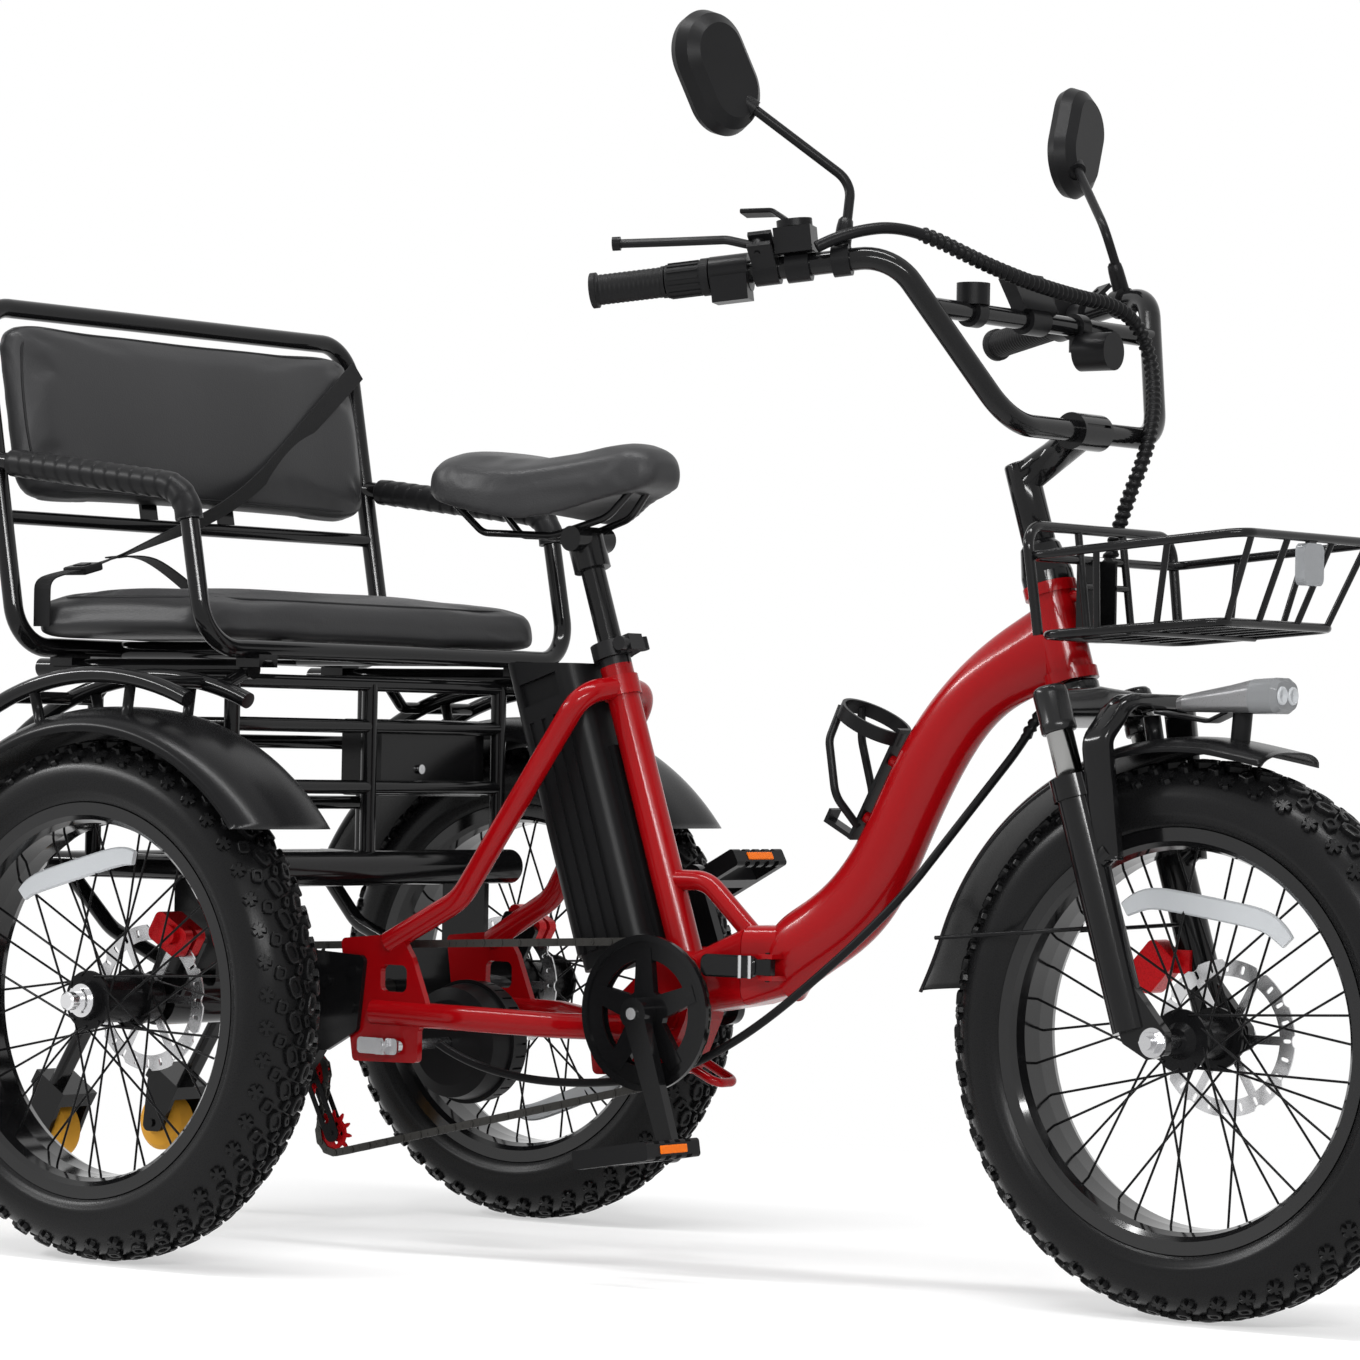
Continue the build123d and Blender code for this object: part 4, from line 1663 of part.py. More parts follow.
with BuildPart() as bottle_cage:
    with Locations(CAGE_AXIS.offset(46).location):
        Cylinder(CAGE_R + 1.8, 15.0)
        Cylinder(CAGE_R - 1.8, 16.0, mode=Mode.SUBTRACT)
    with Locations(CAGE_AXIS.offset(-8).location):
        with Locations((CAGE_R - 0.6, 0, 0)):
            Box(4.2, 20.0, 132.0)
        with Locations((CAGE_R - 20, 0, -63.5)):
            Box(36.0, 18.0, 5.0)
        with Locations((CAGE_R - 37, 0, -58)):
            Box(4.0, 18.0, 16.0)
    for side in (-1, 1):
        arm_points = [
            on_cage(side * 152, 47), on_cage(side * 128, 12), on_cage(side * 66, -34), on_cage(side * 8, -58)
        ]
        tube(arm_points, CAGE_ARM_R, [26.0, 26.0])
keep(bottle_cage.part, "bottle_cage")

# Cable runs: from the handlebar to the head tube, and along the frame to the motor
LOOM_R = 6.0
LOOM = [
    bar(-1, 233, 20, 14),
    at(889, -270, 1084),
    at(926, -212, 1094),
    at(966, -116, 1056),
    at(972, 4, 1041),
    at(974, 128, 1036),
    at(986, 158, 980),
    at(1029, 88, 896),
    at(1004, 66, 812),
    at(986, 47, 704),
]
with BuildPart() as bar_loom:
    cable(LOOM, LOOM_R)
keep(bar_loom.part, "bar_loom")

FRAME_RUN = [
    at(968, 42, 690),
    at(938, 36, 610),
    at(868, -8, 500),
    at(790, -42, 388),
    at(560, -43, 219),
    at(372, -44, 195),
    at(250, -60, 212),
    at(214, -70, 236),
]
with BuildPart() as frame_cables:
    cable(FRAME_RUN, LOOM_R)
keep(frame_cables.part, "frame_cables")
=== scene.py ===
# %% [markdown]
# # A folding electric tricycle with a passenger bench
#
# This lesson dresses a finished CAD model. The CAD gives every rigid piece its place and size. Here the
# rubber, vinyl, webbing, cables and reflectors are made, and each surface gets its finish.

import bmesh
import bpy
import numpy as np
from mathutils import Matrix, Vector
from mathutils.bvhtree import BVHTree


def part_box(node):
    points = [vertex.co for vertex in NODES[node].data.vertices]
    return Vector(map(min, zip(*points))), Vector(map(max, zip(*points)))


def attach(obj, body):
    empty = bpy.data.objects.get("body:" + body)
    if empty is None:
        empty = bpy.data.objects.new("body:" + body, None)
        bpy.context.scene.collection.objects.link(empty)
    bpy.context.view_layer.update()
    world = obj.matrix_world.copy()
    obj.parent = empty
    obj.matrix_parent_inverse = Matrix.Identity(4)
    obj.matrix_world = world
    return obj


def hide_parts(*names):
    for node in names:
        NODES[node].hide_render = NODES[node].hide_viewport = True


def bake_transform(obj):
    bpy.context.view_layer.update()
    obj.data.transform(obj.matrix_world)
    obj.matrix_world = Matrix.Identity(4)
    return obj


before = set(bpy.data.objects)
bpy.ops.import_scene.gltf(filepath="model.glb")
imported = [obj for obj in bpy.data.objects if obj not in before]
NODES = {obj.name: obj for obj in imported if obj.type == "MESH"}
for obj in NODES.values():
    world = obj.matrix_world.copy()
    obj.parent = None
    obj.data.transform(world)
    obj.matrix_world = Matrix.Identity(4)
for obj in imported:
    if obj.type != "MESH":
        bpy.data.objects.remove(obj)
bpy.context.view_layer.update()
REAR_AXLE = -0.527


def spot(forward, left, up):
    """A point in metres, from millimetres forward of the rear axle, left of the middle and above ground."""
    return np.array([REAR_AXLE + forward / 1000, left / 1000, up / 1000])


# %% [markdown]
# ## Small mesh tools
#
# Every new piece is a grid of points worked out as one numpy array. A grid can be closed along either
# direction: a tube is closed round its section, a wheel is closed round its axle. Vector arithmetic over the
# whole grid is short to read and quick to run, and it needs no modelling by hand.

# %% Grids to meshes
def grid_faces(rows, columns, wrap_rows=False, wrap_columns=False):
    """Quads between neighbours of a rows x columns grid; a wrapped direction also joins last to first."""
    i = np.arange(rows if wrap_rows else rows - 1)
    j = np.arange(columns if wrap_columns else columns - 1)
    i, j = np.meshgrid(i, j, indexing="ij")
    down, right = (i + 1) % rows, (j + 1) % columns
    quads = [i * columns + j, down * columns + j, down * columns + right, i * columns + right]
    return np.stack(quads, -1).reshape(-1, 4)


def make_object(name, points, faces, material, smooth=True):
    """One mesh object from an array of points and a list of faces, its place kept in the mesh."""
    mesh = bpy.data.meshes.new(name)
    mesh.from_pydata(np.asarray(points, float).reshape(-1, 3).tolist(), [], faces)
    mesh.polygons.foreach_set("use_smooth", np.full(len(mesh.polygons), smooth))
    mesh.update()
    piece = bpy.data.objects.new(name, mesh)
    bpy.context.scene.collection.objects.link(piece)
    mesh.materials.append(material)
    return piece


def unit(vectors):
    """Vectors scaled to length one."""
    vectors = np.asarray(vectors, float)
    return vectors / np.linalg.norm(vectors, axis=-1, keepdims=True)


def lathe_points(centre, profile, segments):
    """Turn a profile of (along the axle, radius), in mm, round an axle along Y through the centre."""
    profile = np.asarray(profile, float) / 1000
    turn = np.linspace(0, 2 * np.pi, segments, endpoint=False)
    along, radius = profile[:, :1], profile[:, 1:]
    flat = along + 0 * turn
    return np.stack([radius * np.cos(turn), flat, radius * np.sin(turn)], -1) + centre


def tube_points(path, radius, sides, reference):
    """Rings round a path: each ring stands square to the path, turned by a fixed reference direction."""
    path = np.asarray(path, float)
    ahead = unit(np.gradient(path, axis=0))
    across = unit(np.cross(ahead, reference))
    upright = np.cross(ahead, across)
    turn = np.linspace(0, 2 * np.pi, sides, endpoint=False)[None, :, None]
    radius = np.broadcast_to(np.asarray(radius, float), (len(path), sides))[..., None]
    return path[:, None] + radius * (np.cos(turn) * across[:, None] + np.sin(turn) * upright[:, None])


def tube_faces(rows, columns):
    """Faces of a tube of rings as lists, with a many-sided face closing each end."""
    walls = grid_faces(rows, columns, wrap_columns=True)[:, ::-1]
    first = list(range(columns))
    last = list(range((rows - 1) * columns, rows * columns))
    return walls.tolist() + [first, last[::-1]]


def pose_matrix(ways, place):
    """The matrix that turns the axes to three directions and moves the origin to a place."""
    turned = np.eye(4)
    turned[:3, :3] = np.stack(ways, 1)
    turned[:3, 3] = place
    return Matrix(turned.tolist())


# %% [markdown]
# ## The camera
#
# The photograph was taken with a long lens from the front right, a little above the wheel axles. One camera
# was solved from the three rims, which are circles of one size, and from the level ground. Its place and
# turn are written here as they came out of that sum.

# %% Camera
EYE = spot(3801.5, -4369.2, 564.6)
YAW, PITCH, ROLL = np.radians([37.23, -0.707, 1.053])
FOCAL_PIXELS, FRAME_PIXELS, SENSOR = 5052.0, 1360.0, 36.0
MIDDLE_X, MIDDLE_Y = 675.4, 687.7
FAR_CLIP = 60.0

looking = np.array([-np.sin(YAW) * np.cos(PITCH), np.cos(YAW) * np.cos(PITCH), -np.sin(PITCH)])
level_right = unit(np.cross(looking, [0, 0, 1]))
level_up = np.cross(level_right, looking)
right = level_right * np.cos(ROLL) + level_up * np.sin(ROLL)
upward = -level_right * np.sin(ROLL) + level_up * np.cos(ROLL)

camera_data = bpy.data.cameras.new("camera")
camera_data.sensor_width = SENSOR
camera_data.lens = FOCAL_PIXELS * SENSOR / FRAME_PIXELS
camera_data.shift_x = (FRAME_PIXELS / 2 - MIDDLE_X) / FRAME_PIXELS
camera_data.shift_y = (MIDDLE_Y - FRAME_PIXELS / 2) / FRAME_PIXELS
camera_data.clip_end = FAR_CLIP
camera = bpy.data.objects.new("camera", camera_data)
camera.matrix_world = pose_matrix([right, upward, -looking], EYE)
bpy.context.scene.collection.objects.link(camera)
bpy.context.scene.camera = camera
bpy.context.scene.view_settings.view_transform = "Standard"
print("camera lens", round(camera_data.lens, 1), "mm")


# %% [markdown]
# ## Effects shared by many finishes
#
# Paint, plastic, rubber and metal all vary a little over a surface. One node group gives a slow drift of
# tone and a fine grain, and each material places it with its own scales. A second group measures the
# distance from a wheel's axle, so that one casting can show a bright disc or nut where the real one does.

# %% Node helpers
def link(tree, source, target):
    """Join two sockets."""
    tree.links.new(source, target)


def calculate(tree, operation, first, second=0.5, third=None):
    """A Math node; each value is a number or a socket."""
    node = tree.nodes.new("ShaderNodeMath")
    node.operation = operation
    for slot, value in enumerate((first, second, third)):
        if value is None:
            continue
        if isinstance(value, (int, float)):
            node.inputs[slot].default_value = value
        else:
            link(tree, value, node.inputs[slot])
    return node.outputs[0]


def new_group(name, inputs, outputs):
    """An empty shader group with value inputs (name, default) and named outputs (name, kind)."""
    group = bpy.data.node_groups.new(name, "ShaderNodeTree")
    for label, value in inputs:
        socket = group.interface.new_socket(label, in_out="INPUT", socket_type="NodeSocketFloat")
        socket.default_value = value
    for label, kind in outputs:
        group.interface.new_socket(label, in_out="OUTPUT", socket_type=kind)
    return group, group.nodes.new("NodeGroupInput"), group.nodes.new("NodeGroupOutput")


def make_surface_group():
    """Slow drift of tone and fine grain, both from noise in Object coordinates."""
    group, given, made = new_group(
        "surface_variation",
        [("Drift Scale", 6.0), ("Grain Scale", 900.0)],
        [("Drift", "NodeSocketFloat"), ("Grain", "NodeSocketFloat")],
    )
    place = group.nodes.new("ShaderNodeTexCoord").outputs["Object"]
    for label, detail in (("Drift", 3.0), ("Grain", 2.0)):
        noise = group.nodes.new("ShaderNodeTexNoise")
        noise.inputs["Detail"].default_value = detail
        link(group, place, noise.inputs["Vector"])
        link(group, given.outputs[label + " Scale"], noise.inputs["Scale"])
        link(group, noise.outputs["Fac"], made.inputs[label])
    return group


def make_axle_group():
    """Distance from an axle along Y, and the place along it, both in millimetres."""
    group, given, made = new_group(
        "axle_distance",
        [("Axle X", 0.0), ("Axle Z", 0.0)],
        [("Radius", "NodeSocketFloat"), ("Along", "NodeSocketFloat")],
    )
    place = group.nodes.new("ShaderNodeTexCoord").outputs["Object"]
    split = group.nodes.new("ShaderNodeSeparateXYZ")
    link(group, place, split.inputs[0])
    dx = calculate(group, "SUBTRACT", split.outputs["X"], given.outputs["Axle X"])
    dz = calculate(group, "SUBTRACT", split.outputs["Z"], given.outputs["Axle Z"])
    square_x, square_z = calculate(group, "MULTIPLY", dx, dx), calculate(group, "MULTIPLY", dz, dz)
    distance = calculate(group, "SQRT", calculate(group, "ADD", square_x, square_z))
    link(group, calculate(group, "MULTIPLY", distance, 1000.0), made.inputs["Radius"])
    link(group, calculate(group, "MULTIPLY", split.outputs["Y"], 1000.0), made.inputs["Along"])
    return group


SURFACE = make_surface_group()
AXLE_DISTANCE = make_axle_group()
print("groups", SURFACE.name, AXLE_DISTANCE.name)


# %% [markdown]
# ## Finishes
#
# A finish starts from a colour, a roughness and a metallic value. The tone drifts between two close colours,
# the roughness follows the grain, and a Bump node carries the grain as height. Values that are the same all
# over stay on the shader's own sockets.

# %% Finish function
def tone_ramp(tree, factor, low, high):
    """Mix two colours by a factor socket."""
    mix = tree.nodes.new("ShaderNodeMix")
    mix.data_type = "RGBA"
    mix.clamp_factor = True
    link(tree, factor, mix.inputs["Factor"])
    for socket, colour in ((mix.inputs["A"], low), (mix.inputs["B"], high)):
        if isinstance(colour, tuple):
            socket.default_value = (*colour, 1.0)
        else:
            link(tree, colour, socket)
    return mix.outputs["Result"]


def finish(name, colour, rough, metallic=0.0, drift=0.25, drift_scale=7.0, grain_scale=900.0,
           bump=0.05, bump_distance=0.0004, coat=0.0, specular=0.1, rough_swing=0.08):
    """A procedural finish: drifting tone, grain in the roughness and a fine bump."""
    material = bpy.data.materials.new(name)
    material.use_nodes = True
    tree = material.node_tree
    shader = tree.nodes["Principled BSDF"]
    variation = tree.nodes.new("ShaderNodeGroup")
    variation.node_tree = SURFACE
    variation.inputs["Drift Scale"].default_value = drift_scale
    variation.inputs["Grain Scale"].default_value = grain_scale
    low = tuple(c * (1 - drift) for c in colour)
    high = tuple(min(1.0, c * (1 + drift)) for c in colour)
    tone = tone_ramp(tree, variation.outputs["Drift"], low, high)
    link(tree, tone, shader.inputs["Base Color"])
    grain = variation.outputs["Grain"]
    swing = calculate(tree, "MULTIPLY_ADD", grain, 2 * rough_swing, rough - rough_swing)
    link(tree, swing, shader.inputs["Roughness"])
    shader.inputs["Metallic"].default_value = metallic
    shader.inputs["Specular IOR Level"].default_value = specular
    if coat:
        shader.inputs["Coat Weight"].default_value = coat
        shader.inputs["Coat Roughness"].default_value = 0.04
    if bump:
        height = tree.nodes.new("ShaderNodeBump")
        height.inputs["Strength"].default_value = bump
        height.inputs["Distance"].default_value = bump_distance
        link(tree, grain, height.inputs["Height"])
        link(tree, height.outputs["Normal"], shader.inputs["Normal"])
    return material


def sockets_of(material):
    """The material's tree, its shader, and what now feeds its colour and roughness."""
    tree = material.node_tree
    shader = tree.nodes["Principled BSDF"]
    feeds = {l.to_socket.name: l.from_socket for l in tree.links if l.to_node == shader}
    return tree, shader, feeds


def overlay(material, mask, colour, rough, metallic):
    """Where the mask is one, show another colour, roughness and metallic value."""
    tree, shader, feeds = sockets_of(material)
    link(tree, tone_ramp(tree, mask, feeds["Base Color"], colour), shader.inputs["Base Color"])
    for label, value in (("Roughness", rough), ("Metallic", metallic)):
        below = feeds.get(label, shader.inputs[label].default_value)
        kept = calculate(tree, "MULTIPLY", below, calculate(tree, "SUBTRACT", 1.0, mask))
        link(tree, calculate(tree, "MULTIPLY_ADD", mask, value, kept), shader.inputs[label])


# %% The finishes of this machine
RED_COLOUR = (0.215, 0.0013, 0.0027)
RED_LOOK = {"rough": 0.2, "drift": 0.1, "bump": 0.03, "grain_scale": 260, "coat": 0.12, "specular": 0.12}
DEEP_BLACK, CAST_BLACK, SOFT_BLACK = (0.004, 0.004, 0.0043), (0.005, 0.005, 0.0054), (0.006, 0.006, 0.0064)
RED_PAINT = finish("red_paint", RED_COLOUR, **RED_LOOK)
BLACK_PAINT = finish("black_powder_coat", DEEP_BLACK, 0.12, drift=0.3, bump=0.03, grain_scale=500,
                     specular=0.22, rough_swing=0.04)
SATIN_BLACK = finish("satin_black", SOFT_BLACK, 0.36, drift=0.3, bump=0.08, grain_scale=700)
BLACK_PLASTIC = finish("black_plastic", SOFT_BLACK, 0.32, drift=0.3, bump=0.12, grain_scale=1100)
MATTE_PLASTIC = finish("matte_plastic", (0.007, 0.007, 0.0074), 0.4, drift=0.3, bump=0.12, grain_scale=1300)
FENDER_PLASTIC = finish("fender_plastic", SOFT_BLACK, 0.26, drift=0.3, bump=0.06, grain_scale=1200)
RIM_BLACK = finish("rim_black", DEEP_BLACK, 0.1, drift=0.3, bump=0.02, specular=0.4, rough_swing=0.03)
RUBBER = finish("tyre_rubber", (0.0055, 0.0055, 0.0058), 0.28, drift=0.35, bump=0.2, grain_scale=800,
                specular=0.13)
GRIP_RUBBER = finish("grip_rubber", (0.008, 0.008, 0.0084), 0.5, drift=0.3, bump=0.25, grain_scale=1500)
STEEL = finish("bright_steel", (0.5, 0.5, 0.51), 0.24, metallic=1.0, drift=0.12, bump=0.06, grain_scale=1400)
DARK_STEEL = finish("oiled_steel", (0.07, 0.068, 0.064), 0.35, metallic=0.85, drift=0.35, bump=0.1)
RED_ALLOY = finish("red_anodised", (0.4, 0.003, 0.006), 0.28, metallic=0.45, drift=0.12, bump=0.05, coat=0.1)
YELLOW = finish("yellow_urethane", (0.62, 0.3, 0.03), 0.5, drift=0.12, bump=0.12)
REFLECTOR_WHITE = finish("clear_reflector", (0.4, 0.415, 0.43), 0.22, drift=0.12, bump=0.3, grain_scale=500,
                         specular=0.4)
REFLECTOR_ORANGE = finish("orange_reflector", (0.66, 0.13, 0.005), 0.2, drift=0.12, bump=0.3, grain_scale=600)
MIRROR_GLASS = finish("mirror_glass", (0.75, 0.77, 0.78), 0.06, metallic=1.0, drift=0.02, bump=0.0,
                      rough_swing=0.02)
CABLE = finish("cable_jacket", CAST_BLACK, 0.36, drift=0.3, bump=0.08)
print(len(bpy.data.materials), "finishes")


# %% [markdown]
# ## Finishes on the CAD pieces
#
# Each node of the CAD model that still shows takes one of the finishes. Pieces that leave the factory as one
# unit, such as a hub with its spokes and disc, need two metals on one node, so a mask from the axle distance
# picks them out.

# %% Assign finishes to nodes
NODE_FINISH = {
    RED_PAINT: ["front_frame"],
    BLACK_PAINT: ["axle_housing", "rear_carrier", "bench_frame", "fork_lowers", "handlebar", "stem",
                  "seatpost", "crank_left"],
    RIM_BLACK: ["front_rim", "rear_right_rim", "rear_left_rim"],
    SATIN_BLACK: ["motor_shell", "brake_lever_right", "brake_lever_left", "seat_lever", "derailleur"],
    BLACK_PLASTIC: ["battery_pack", "pedal_right", "pedal_left", "control_clusters", "shifter_lever",
                    "bottle_cage"],
    MATTE_PLASTIC: ["mirror_right", "mirror_left"],
    GRIP_RUBBER: ["twist_throttle"],
    STEEL: ["fold_pin", "motor_axle", "front_axle"],
    DARK_STEEL: ["chain", "cassette"],
    RED_ALLOY: ["guide_pulley", "tension_pulley", "rear_calipers", "front_caliper"],
    YELLOW: ["roller_right", "roller_left"],
}


def dress(node, material):
    """Give a CAD node one finish."""
    mesh = NODES[node].data
    mesh.materials.clear()
    mesh.materials.append(material)


for material, names in NODE_FINISH.items():
    for node in names:
        dress(node, material)
print("dressed", sum(len(names) for names in NODE_FINISH.values()), "nodes")

# %% Hubs: black shells and spokes, bright discs and axle ends
# Each wheel's middle, the place of its brake disc along the axle in mm, and its body.
WHEELS = {
    "front": (spot(1150, 0, 283), 54.0, "front_wheel"),
    "rear_right": (spot(0, -370, 283), -307.0, "rear_right_wheel"),
    "rear_left": (spot(0, 370, 283), 307.0, "rear_left_wheel"),
}
DISC_HALF, DISC_RADIUS, HUB_RADIUS, NUT_RADIUS, NUT_FROM = 1.6, 82.0, 27.0, 18.0, 408.0
DISC_STEEL, NUT_STEEL = ((0.6, 0.6, 0.61), 0.26, 1.0), ((0.7, 0.7, 0.71), 0.22, 1.0)


def hub_finish(wheel, centre, disc_at):
    """Black hub finish with steel where the disc and, at the back, the axle nut are."""
    material = finish(wheel + "_hub_finish", CAST_BLACK, 0.26, drift=0.3, bump=0.05)
    tree = material.node_tree
    axle = tree.nodes.new("ShaderNodeGroup")
    axle.node_tree = AXLE_DISTANCE
    axle.inputs["Axle X"].default_value = centre[0]
    axle.inputs["Axle Z"].default_value = centre[2]
    along, radius = axle.outputs["Along"], axle.outputs["Radius"]
    near_disc = calculate(tree, "COMPARE", along, disc_at, DISC_HALF)
    past_hub = calculate(tree, "GREATER_THAN", radius, HUB_RADIUS)
    inside = calculate(tree, "LESS_THAN", radius, DISC_RADIUS)
    disc = calculate(tree, "MULTIPLY", near_disc, calculate(tree, "MULTIPLY", past_hub, inside))
    overlay(material, disc, *DISC_STEEL)
    outer = calculate(tree, "GREATER_THAN", calculate(tree, "ABSOLUTE", along), NUT_FROM)
    nut = calculate(tree, "MULTIPLY", outer, calculate(tree, "LESS_THAN", radius, NUT_RADIUS))
    overlay(material, nut, *NUT_STEEL)
    return material


for wheel, (centre, disc_at, body) in WHEELS.items():
    dress(wheel + "_hub", hub_finish(wheel, centre, disc_at))
print("hubs dressed")

# %% Rear frame: the seat clamp at the top of the seat tube is black
SEAT_TILT = np.radians(18.4)
SEAT_ORIGIN = spot(500, 0, 353)
SEAT_UP = np.array([-np.sin(SEAT_TILT), 0, np.cos(SEAT_TILT)])
COLLAR_FROM = 0.318
MATTE_PATCH = ((0.007, 0.007, 0.0075), 0.35, 0.0)


def height_mask(material, origin, axis, limit, above):
    """One above (or below) a plane square to an axis, at a distance in metres from the origin."""
    tree = material.node_tree
    place = tree.nodes.new("ShaderNodeTexCoord").outputs["Object"]
    dot = tree.nodes.new("ShaderNodeVectorMath")
    dot.operation = "DOT_PRODUCT"
    link(tree, place, dot.inputs[0])
    dot.inputs[1].default_value = tuple(axis)
    level = float(np.dot(origin, axis)) + limit
    return calculate(tree, "GREATER_THAN" if above else "LESS_THAN", dot.outputs["Value"], level)


FRAME_FINISH = finish("rear_frame_finish", RED_COLOUR, **RED_LOOK)
above_collar = height_mask(FRAME_FINISH, SEAT_ORIGIN, SEAT_UP, COLLAR_FROM, True)
overlay(FRAME_FINISH, above_collar, *MATTE_PATCH)
dress("rear_frame", FRAME_FINISH)

# %% Small bright places on black castings
AHEAD, LEFT, UP = np.eye(3)


def box_mask(material, low, high):
    """One inside a box given by two corners, in metres."""
    tree = material.node_tree
    inside = 1.0
    for axis, least, most in zip((AHEAD, LEFT, UP), low, high):
        above = height_mask(material, np.zeros(3), axis, float(least), True)
        below = height_mask(material, np.zeros(3), axis, float(most), False)
        inside = calculate(tree, "MULTIPLY", calculate(tree, "MULTIPLY", above, below), inside)
    return inside


def spotted(node, base, places):
    """Dress a node in a black finish with bright boxes: (two corners, colour, rough, metallic)."""
    material = finish(node + "_finish", *base, drift=0.3, bump=0.05, specular=0.2)
    for low, high, colour, rough, metallic in places:
        overlay(material, box_mask(material, low, high), colour, rough, metallic)
    dress(node, material)


BLACK_BASE = (DEEP_BLACK, 0.16)
BOLT = ((0.55, 0.55, 0.56), 0.25, 1.0)
BASKET_LENS, LAMP_LENS = ((0.2, 0.207, 0.215), 0.15, 0.0), ((0.17, 0.175, 0.18), 0.12, 0.0)
spotted("basket", BLACK_BASE, [(spot(1262.8, -19.3, 738.5), spot(1276, 19.3, 781.5), *BASKET_LENS)])
spotted("crank_right", BLACK_BASE, [(spot(493, -94, 275), spot(507, -90.4, 289), *BOLT)])
spotted("fold_latch", BLACK_BASE, [(spot(600, -66, 320), spot(660, -63.1, 350), *BOLT)])
spotted("controller_box", BLACK_BASE, [(spot(33.4, 97, 530), spot(39, 111, 544), *BOLT)])
LAMP_FINISH = finish("lamp_finish", (0.22, 0.22, 0.225), 0.3, metallic=0.7, drift=0.12, bump=0.05)
lens_place = box_mask(LAMP_FINISH, spot(1214, -30, 600), spot(1250, 30, 660))
overlay(LAMP_FINISH, lens_place, *LAMP_LENS)
bracket_place = box_mask(LAMP_FINISH, spot(1090, -30, 570), spot(1216, 30, 612))
overlay(LAMP_FINISH, bracket_place, *MATTE_PATCH)
dress("headlight", LAMP_FINISH)
print("region finishes done")


# %% [markdown]
# ## Cables
#
# The bundle from the right grip crosses the bar in a loose arch, drops in front of the left riser and enters
# the frame at the head tube. A smooth spline takes the route's points as control points. Its line is read
# back from Blender, and rings are carried along it. The spiral guard is a helical ridge in those rings.

# %% Cable routes
def spline_line(name, points):
    """The smooth line of an open spline with these control points, as an array of points."""
    curve = bpy.data.curves.new(name + "_route", "CURVE")
    curve.dimensions = "3D"
    curve.resolution_u = 24
    spline = curve.splines.new("NURBS")
    spline.points.add(len(points) - 1)
    for control, place in zip(spline.points, points):
        control.co = (*place, 1.0)
    spline.order_u = 3
    spline.use_endpoint_u = True
    holder = bpy.data.objects.new(name + "_route", curve)
    bpy.context.scene.collection.objects.link(holder)
    bpy.context.view_layer.update()
    ready = holder.evaluated_get(bpy.context.evaluated_depsgraph_get())
    line_mesh = bpy.data.meshes.new_from_object(ready)
    line = np.zeros(len(line_mesh.vertices) * 3)
    line_mesh.vertices.foreach_get("co", line)
    bpy.data.objects.remove(holder)
    bpy.data.meshes.remove(line_mesh)
    bpy.data.curves.remove(curve)
    return line.reshape(-1, 3)


def even_steps(line, step):
    """The same line read at even steps along its length, and the length itself."""
    run = np.concatenate([[0], np.cumsum(np.linalg.norm(np.diff(line, axis=0), axis=1))])
    wanted = np.linspace(0, run[-1], max(8, int(run[-1] / step)))
    return np.stack([np.interp(wanted, run, line[:, k]) for k in range(3)], 1), wanted


BAR_END, BAR_KNEE = spot(650, -366, 1027), spot(926, -241, 1062)
BAR_WAY = unit(BAR_KNEE - BAR_END)
BAR_OUT = unit(np.array([BAR_WAY[1], -BAR_WAY[0], 0]))
BAR_UP = np.cross(BAR_OUT, BAR_WAY)


def on_bar(side, inward, out=0.0, up=0.0):
    """A point by the handlebar: mm along it from its end, then out and up from it; side -1 is the right."""
    place = BAR_END + (BAR_WAY * inward + BAR_OUT * out + BAR_UP * up) / 1000
    return place * np.array([1, -side, 1])


LOOM_ROUTE = [
    on_bar(-1, 233, 20, 14),
    spot(889, -270, 1084),
    spot(926, -212, 1094),
    spot(966, -116, 1056),
    spot(972, 4, 1041),
    spot(974, 128, 1036),
    spot(986, 158, 980),
    spot(1029, 88, 896),
    spot(1004, 66, 812),
    spot(986, 47, 704),
]
FRAME_ROUTE = [
    spot(968, 42, 690),
    spot(938, 36, 610),
    spot(868, -8, 500),
    spot(790, -42, 388),
    spot(560, -43, 219),
    spot(372, -44, 195),
    spot(250, -60, 212),
    spot(214, -70, 236),
]
LOOM_RADIUS, RUN_RADIUS, CABLE_SIDES = 0.006, 0.0046, 16
WRAP_RIDGE, WRAP_PITCH, WRAP_EDGE = 0.0022, 0.0085, 0.006


def wrapped_cable(name, route, thick, reference, wrapped_from, wrapped_to, step=0.0014):
    """Rings along the route; a ridge winds round them between two shares of the length."""
    line, run = even_steps(spline_line(name, route), step)
    turn = np.linspace(0, 1, CABLE_SIDES, endpoint=False)[None, :]
    phase = (run[:, None] / WRAP_PITCH - turn) % 1.0
    ridge = np.clip(1.6 * np.cos(2 * np.pi * (phase - 0.5)) + 0.4, 0, 1)
    share = (run / run[-1])[:, None]
    covered = np.clip((share - wrapped_from) / WRAP_EDGE, 0, 1)
    covered = covered * np.clip((wrapped_to - share) / WRAP_EDGE, 0, 1)
    radius = thick + WRAP_RIDGE * ridge * covered
    points = tube_points(line, radius, CABLE_SIDES, reference)
    piece = make_object(name, points, tube_faces(len(line), CABLE_SIDES), CABLE)
    return piece, line, run[-1]


loom, loom_line, loom_length = wrapped_cable("bar_cable_bundle", LOOM_ROUTE, LOOM_RADIUS, (1, 0, 0),
                                             0.14, 0.97)
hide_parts("bar_loom")
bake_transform(loom)

